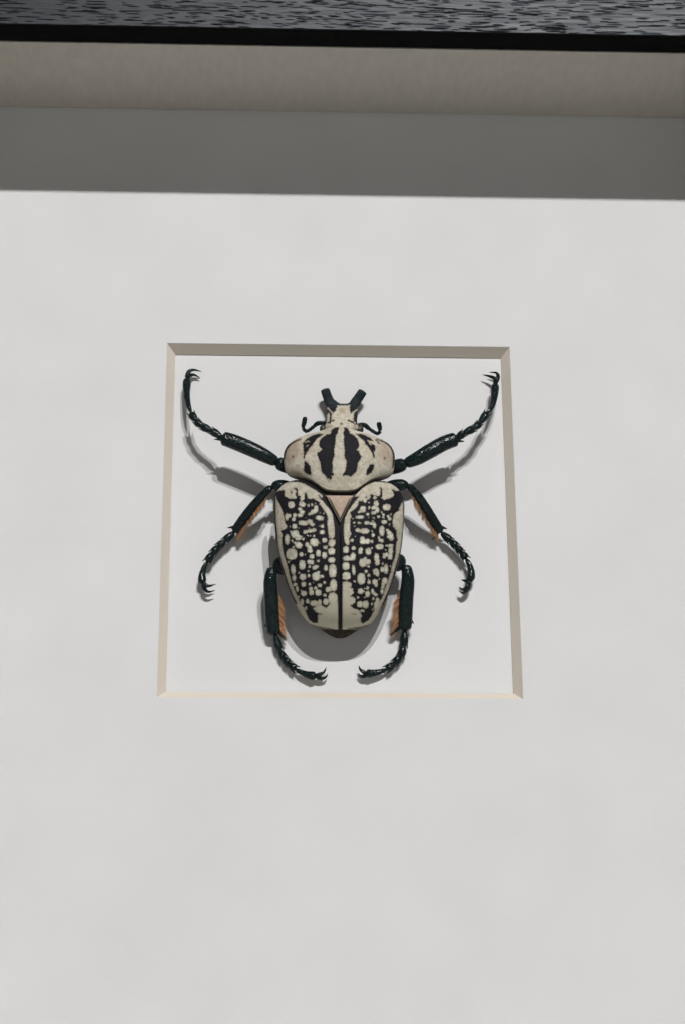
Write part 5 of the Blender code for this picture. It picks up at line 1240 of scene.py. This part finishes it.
# ---- Legs. Six jointed legs of glossy green-black chitin with coarse pits: a thick femur, a shin
# with teeth and spurs, five bead-like toe joints with small spines, and two hooked claws.
# Points (x, v, h) from the body outwards; the top of this file says where they come from
LEGS = {
    "foreleg_left": dict(
        thigh=2.6, shin=2.65,
        femur=[(-9.5, 15.4, 6.6), (-14.5, 15.6, 8.9), (-19.5, 16.0, 11.3), (-23.0, 16.8, 12.5)],
        tibia=[(-22.2, 16.6, 12.4), (-26.5, 18.9, 12.8), (-31.5, 21.4, 13), (-37.2, 23.9, 13),
               (-42.0, 25.6, 13)],
        tarsus=[(-41.6, 25.6, 12.8), (-45.4, 28.5, 12), (-48.8, 30.6, 11), (-51.2, 33.3, 10),
                (-53.0, 36.9, 8.5), (-54.6, 42.8, 6.5), (-54.9, 48.7, 4.5), (-55.0, 52.4, 3.6)],
        claws=[[(-54.4, 54.8, 3.4), (-52.6, 55.7, 3.2), (-49.8, 55.3, 2.6)],
               [(-53.8, 53.9, 2.4), (-52.4, 54.3, 1.8), (-50.3, 53.4, 1.2)]],
        spines=[((-40.0, 24.8, 13), (-44.6, 25.1, 12.6)), ((-33.0, 22.6, 13), (-36.2, 25.4, 13))]),
    "foreleg_right": dict(
        thigh=2.6, shin=2.65,
        femur=[(9.5, 15.4, 6.6), (14.5, 15.6, 8.9), (19.8, 16.0, 11.3), (23.4, 16.8, 12.5)],
        tibia=[(22.6, 16.5, 12.4), (27.0, 18.5, 12.8), (32.0, 21.5, 13), (37.0, 24.4, 13),
               (41.5, 26.0, 13)],
        tarsus=[(41.0, 25.9, 12.8), (43.7, 28.3, 12.5), (47.6, 30.7, 11.5), (50.0, 33.6, 10),
                (53.1, 38.2, 8.5), (55.2, 41.8, 7.2), (56.2, 47.6, 5.4), (56.8, 51.4, 4.2)],
        claws=[[(56.6, 53.4, 3.6), (54.6, 54.6, 3.0), (52.3, 55.4, 2.4)],
               [(57.8, 54.0, 3.9), (57.3, 55.8, 3.2), (54.8, 56.3, 2.6)]],
        spines=[((40.0, 25.2, 13), (43.9, 25.2, 12.6)), ((33.0, 22.6, 13), (36.6, 25.8, 13))]),
    "midleg_left": dict(
        thigh=2.4, shin=1.7,
        femur=[(-8.0, 4.2, 3.6), (-13.5, 6.4, 7.0), (-19.0, 8.1, 10.8), (-24.4, 8.0, 12.3)],
        tibia=[(-24.2, 8.0, 12.2), (-28.1, 3.8, 11.0), (-31.6, 0.1, 8.8), (-35.0, -3.8, 6.0),
               (-37.1, -6.6, 4.2)],
        tarsus=[(-37.1, -6.4, 4.2), (-40.2, -9.5, 4.0), (-42.5, -11.7, 3.9), (-44.5, -14.2, 3.8),
                (-46.4, -17.4, 3.8), (-47.7, -20.6, 3.7), (-48.0, -23.3, 3.6), (-47.4, -25.1, 3.6)],
        claws=[[(-46.6, -25.9, 3.7), (-45.2, -26.0, 3.7), (-43.1, -25.3, 3.6)],
               [(-47.1, -26.9, 3.5), (-45.7, -28.1, 3.4), (-43.4, -27.5, 3.2)]],
        spines=[((-35.8, -4.6, 5.0), (-39.5, -5.1, 4.8)),
                ((-36.2, -5.8, 4.2), (-34.7, -8.9, 3.4))]),
    "midleg_right": dict(
        thigh=2.4, shin=1.7,
        femur=[(7.4, 4.2, 3.6), (12.8, 6.4, 7.0), (18.2, 8.5, 10.8), (23.9, 9.0, 12.3)],
        tibia=[(23.7, 9.0, 12.2), (27.2, 5.0, 11.0), (30.5, 0.6, 8.8), (33.5, -3.3, 6.0),
               (35.7, -6.0, 4.2)],
        tarsus=[(35.7, -6.0, 4.2), (38.8, -8.9, 4.0), (40.9, -11.0, 3.9), (42.6, -13.2, 3.8),
                (44.3, -15.6, 3.8), (45.6, -18.3, 3.7), (45.9, -21.2, 3.6), (45.1, -24.1, 3.6)],
        claws=[[(44.4, -25.5, 3.7), (43.0, -26.7, 3.7), (41.4, -25.8, 3.6)],
               [(44.6, -26.3, 3.4), (43.0, -27.9, 3.2), (41.4, -26.9, 3.0)]],
        spines=[((34.6, -3.8, 5.0), (37.8, -4.9, 4.8)), ((34.8, -5.2, 4.2), (32.6, -8.6, 3.4)),
                ((44.9, -24.0, 3.6), (42.4, -23.1, 3.5))]),
    "hindleg_left": dict(
        thigh=3.4, shin=2.5,
        femur=[(-9.0, -11.5, 3.4), (-14.0, -15.8, 5.0), (-19.2, -19.4, 7.8), (-23.6, -20.8, 9.9)],
        tibia=[(-23.7, -21.0, 9.8), (-24.4, -25.6, 9.4), (-24.0, -32.0, 7.6), (-23.6, -38.4, 5.2),
               (-23.0, -43.6, 3.4)],
        tarsus=[(-22.7, -43.2, 3.2), (-20.9, -48.4, 2.6), (-19.3, -51.2, 2.5), (-17.3, -53.5, 2.5),
                (-15.0, -55.4, 2.5), (-12.4, -56.8, 2.5), (-10.0, -57.5, 2.6), (-8.0, -57.7, 2.6)],
        claws=[[(-7.0, -57.2, 2.8), (-5.6, -56.4, 2.9), (-4.7, -54.6, 2.9)],
               [(-6.9, -58.3, 2.3), (-5.1, -58.1, 2.2), (-4.2, -56.7, 2.2)]],
        spines=[((-21.8, -42.0, 3.8), (-18.3, -45.4, 3.2)),
                ((-24.4, -38.0, 5.2), (-26.4, -41.0, 4.6))]),
    "hindleg_right": dict(
        thigh=3.4, shin=2.5,
        femur=[(8.6, -11.3, 3.4), (13.6, -15.0, 5.0), (18.4, -18.0, 7.8), (22.4, -19.4, 9.9)],
        tibia=[(22.6, -19.8, 9.8), (23.3, -25.0, 9.4), (22.7, -31.7, 7.6), (22.5, -37.1, 5.2),
               (22.3, -41.6, 3.4)],
        tarsus=[(22.3, -40.9, 3.4), (21.9, -46.7, 2.6), (20.8, -50.3, 2.5), (18.5, -53.1, 2.5),
                (15.7, -55.3, 2.5), (12.6, -56.3, 2.5), (10.2, -56.7, 2.6), (8.8, -56.8, 2.6)],
        claws=[[(8.1, -56.3, 2.8), (6.9, -55.4, 2.9), (6.4, -54.0, 2.9)],
               [(8.2, -57.6, 2.3), (7.0, -57.5, 2.2), (6.1, -56.5, 2.2)]],
        spines=[((21.1, -40.1, 3.9), (17.2, -43.5, 3.2)),
                ((23.2, -36.2, 5.4), (25.4, -39.6, 4.7))])}
FEMUR_SHARES = (0.62, 0.9, 1.0, 0.8)
TIBIA_SHARES = (0.66, 0.9, 1.0, 1.0, 0.93)
CLAW_HALF = (0.9, 0.75, 0.45, 0.1)
TOE_STARTS = (0.0, 0.135, 0.27, 0.405, 0.55)     # where each toe joint starts along the tarsus
TOE_OVERLAP = 0.022               # how far each toe joint reaches into the next
TOE_HALVES = (0.8, 1.05, 1.4, 1.5, 1.15)
LAST_TOE_HALVES = (0.7, 0.95, 1.2, 1.5, 1.5)
TOE_SPINE_OUT = 1.55              # where a toe spine's tip ends, beside and ahead of the joint
TOE_SPINE_AHEAD = 0.7
LEG_PITS = 70
draw = np.random.default_rng(23)
for name, leg in LEGS.items():
    thighs = [leg["thigh"] * share for share in FEMUR_SHARES]
    shins = [leg["shin"] * share for share in TIBIA_SHARES]
    grids = [limb(leg["femur"], thighs, 90, 52, pits=LEG_PITS, draw=draw),
             limb(leg["tibia"], shins, 100, 52, 0.85, 2.4, 0.07, pits=LEG_PITS, draw=draw)]
    path = through(leg["tarsus"], 201)
    for number, start in enumerate(TOE_STARTS):
        is_last = number == len(TOE_STARTS) - 1
        end = 1.0 if is_last else TOE_STARTS[number + 1] + TOE_OVERLAP
        first, last = int(start * 200), int(end * 200)
        route = path[np.linspace(first, last, 5).astype(int)]
        halves = LAST_TOE_HALVES if is_last else TOE_HALVES
        grids.append(limb(route, halves, 26, 20, 0.85, blunt=0.22))
        if not is_last:
            ahead = route[-1] - route[-3]
            ahead = ahead / np.linalg.norm(ahead)
            sideways = np.cross(ahead, [0, 0, 1.0])
            for side in (-1, 1):
                root = route[-2] + sideways * side
                tip = route[-1] + sideways * side * TOE_SPINE_OUT + ahead * TOE_SPINE_AHEAD
                grids.append(limb([root, tip], (0.4, 0.1), 8, 8, 1.0, blunt=0.1))
    for claw in leg["claws"]:
        grids.append(limb([leg["tarsus"][-1], *claw], CLAW_HALF, 30, 14, 0.9, blunt=0.05))
    for root, tip in leg["spines"]:
        grids.append(limb([root, tip], (0.9, 0.15), 16, 12, 1.0, blunt=0.06))
    mesh = skin(name, [board(grid) for grid in grids])
    finished(name, mesh, limb_shell, "dark_shell", "beetle_" + name)


# ---- Fringes. Rows of stiff orange-brown hairs along the inner side of the shins, rooted in the
# chitin and combed obliquely towards the feet.
FRINGES = [("hindleg_left", 0.34, 0.94, 1, 4.6, 480), ("hindleg_right", 0.34, 0.94, -1, 4.6, 480),
           ("midleg_left", 0.1, 0.96, 1, 3.4, 480), ("midleg_right", 0.1, 0.96, -1, 3.4, 480)]
HAIR_HALF = 0.09
CLUMPS = 12
HAIR_STEPS = np.array([0, 0.4, 0.75, 1.0])       # the four rings of a hair, and their widths
HAIR_TAPER = np.array([1.0, 0.85, 0.6, 0.08])
HAIR_ROOT = 0.72                  # how far out on the shin the hairs stand
HAIR_STRAY = 0.14                 # spread of the hairs' directions
fringe_hair = plain_material("orange_brown_hair", (0.45, 0.17, 0.05), 0.5)
tone_value = stored(fringe_hair, "tone")
tip_value = stored(fringe_hair, "tip")
hair_colour = ramp(fringe_hair, tone_value, [(0.1, (0.05, 0.018, 0.006)), (0.4, (0.4, 0.15, 0.04)),
                                             (0.9, (0.8, 0.42, 0.17))])
feed(fringe_hair, Base_Color=mixed(fringe_hair, tip_value, hair_colour, (0.85, 0.62, 0.4)))


def hairs(leg, start, end, side, length, count, draw):
    """Tapered three-sided hairs rooted along the tibia's side, leaning towards the foot; each is a
    tube of four rings whose width falls to a point. They stand in clumps, and each has its own
    tone, darker near the knee and between the clumps. Returns the hairs and their tones."""
    path = through(leg["tibia"], 301)
    share = start + (end - start) * np.sort(draw.random(count))
    at = (share * 300).astype(int)
    ahead = np.gradient(path, axis=0)[at]
    ahead /= np.linalg.norm(ahead, axis=1)[:, None]
    sideways = side * np.cross(ahead, [0, 0, 1.0])
    sideways *= np.sign(sideways[:, :1] * side)
    rise = np.array([0, 0, 1.0])
    root = path[at] + sideways * leg["shin"] * HAIR_ROOT + rise * draw.normal(0, 0.28, (count, 1))
    grown = np.clip((share[:, None] - start) / 0.14, 0.3, 1)
    reach = length * (0.75 + 0.35 * draw.random((count, 1))) * grown
    clump = np.sin(2 * math.pi * CLUMPS * share)[:, None]
    lean = 0.8 + HAIR_STRAY * draw.normal(0, 1, (count, 1)) + HAIR_STRAY * clump
    way = sideways * 0.7 + ahead * lean
    way = way + rise * draw.normal(0, 0.12, (count, 1))
    way /= np.linalg.norm(way, axis=1)[:, None]
    t = HAIR_STEPS[None, :, None]
    spine = root[:, None] + way[:, None] * reach[:, None] * t + ahead[:, None] * 0.35 * t ** 2
    width = HAIR_HALF * HAIR_TAPER[None, :, None]
    turn = np.radians([90, 210, 330])
    ring = np.stack([np.cos(turn), np.zeros(3), np.sin(turn)], -1)
    cross = np.cross(way, rise)
    cross /= np.linalg.norm(cross, axis=1)[:, None]
    over = np.cross(cross, way)
    offset = cross[:, None, None] * ring[:, :1] + over[:, None, None] * ring[:, 2:]
    tone = (0.22 * length - 0.4 + 0.2 * clump[:, 0] + 0.2 * draw.normal(0, 1, count)
            - 0.6 * (1 - grown[:, 0]))
    return spine[:, :, None] + width[..., None] * offset, tone


for name, start, end, side, length, count in FRINGES:
    tufts, tone = hairs(LEGS[name], start, end, side, length, count, draw)
    mesh = skin("fringe_" + name, [board(hair) for hair in tufts])
    mark(mesh, "tip", np.broadcast_to(0.7 * HAIR_STEPS[None, :, None] ** 2, tufts.shape[:3]))
    mark(mesh, "tone", np.broadcast_to(np.clip(tone, 0, 1)[:, None, None], tufts.shape[:3]))
    finished("fringe_" + name, mesh, fringe_hair, "dark_shell", "beetle_" + name)


# ---- Peg. A short stub of white foam glued under the body, which holds it off the backing card.
foam = plain_material("white_foam", (0.8, 0.8, 0.78), 0.9)
foam_cells = object_noise(foam, 2200.0, 3.0)
feed(foam, Base_Color=ramp(foam, foam_cells,
                           [(0.3, (0.74, 0.74, 0.72)), (0.7, (0.84, 0.84, 0.82))]),
     Normal=bumped(foam, foam_cells, 0.0002))
give("beetle_mount_peg", foam)
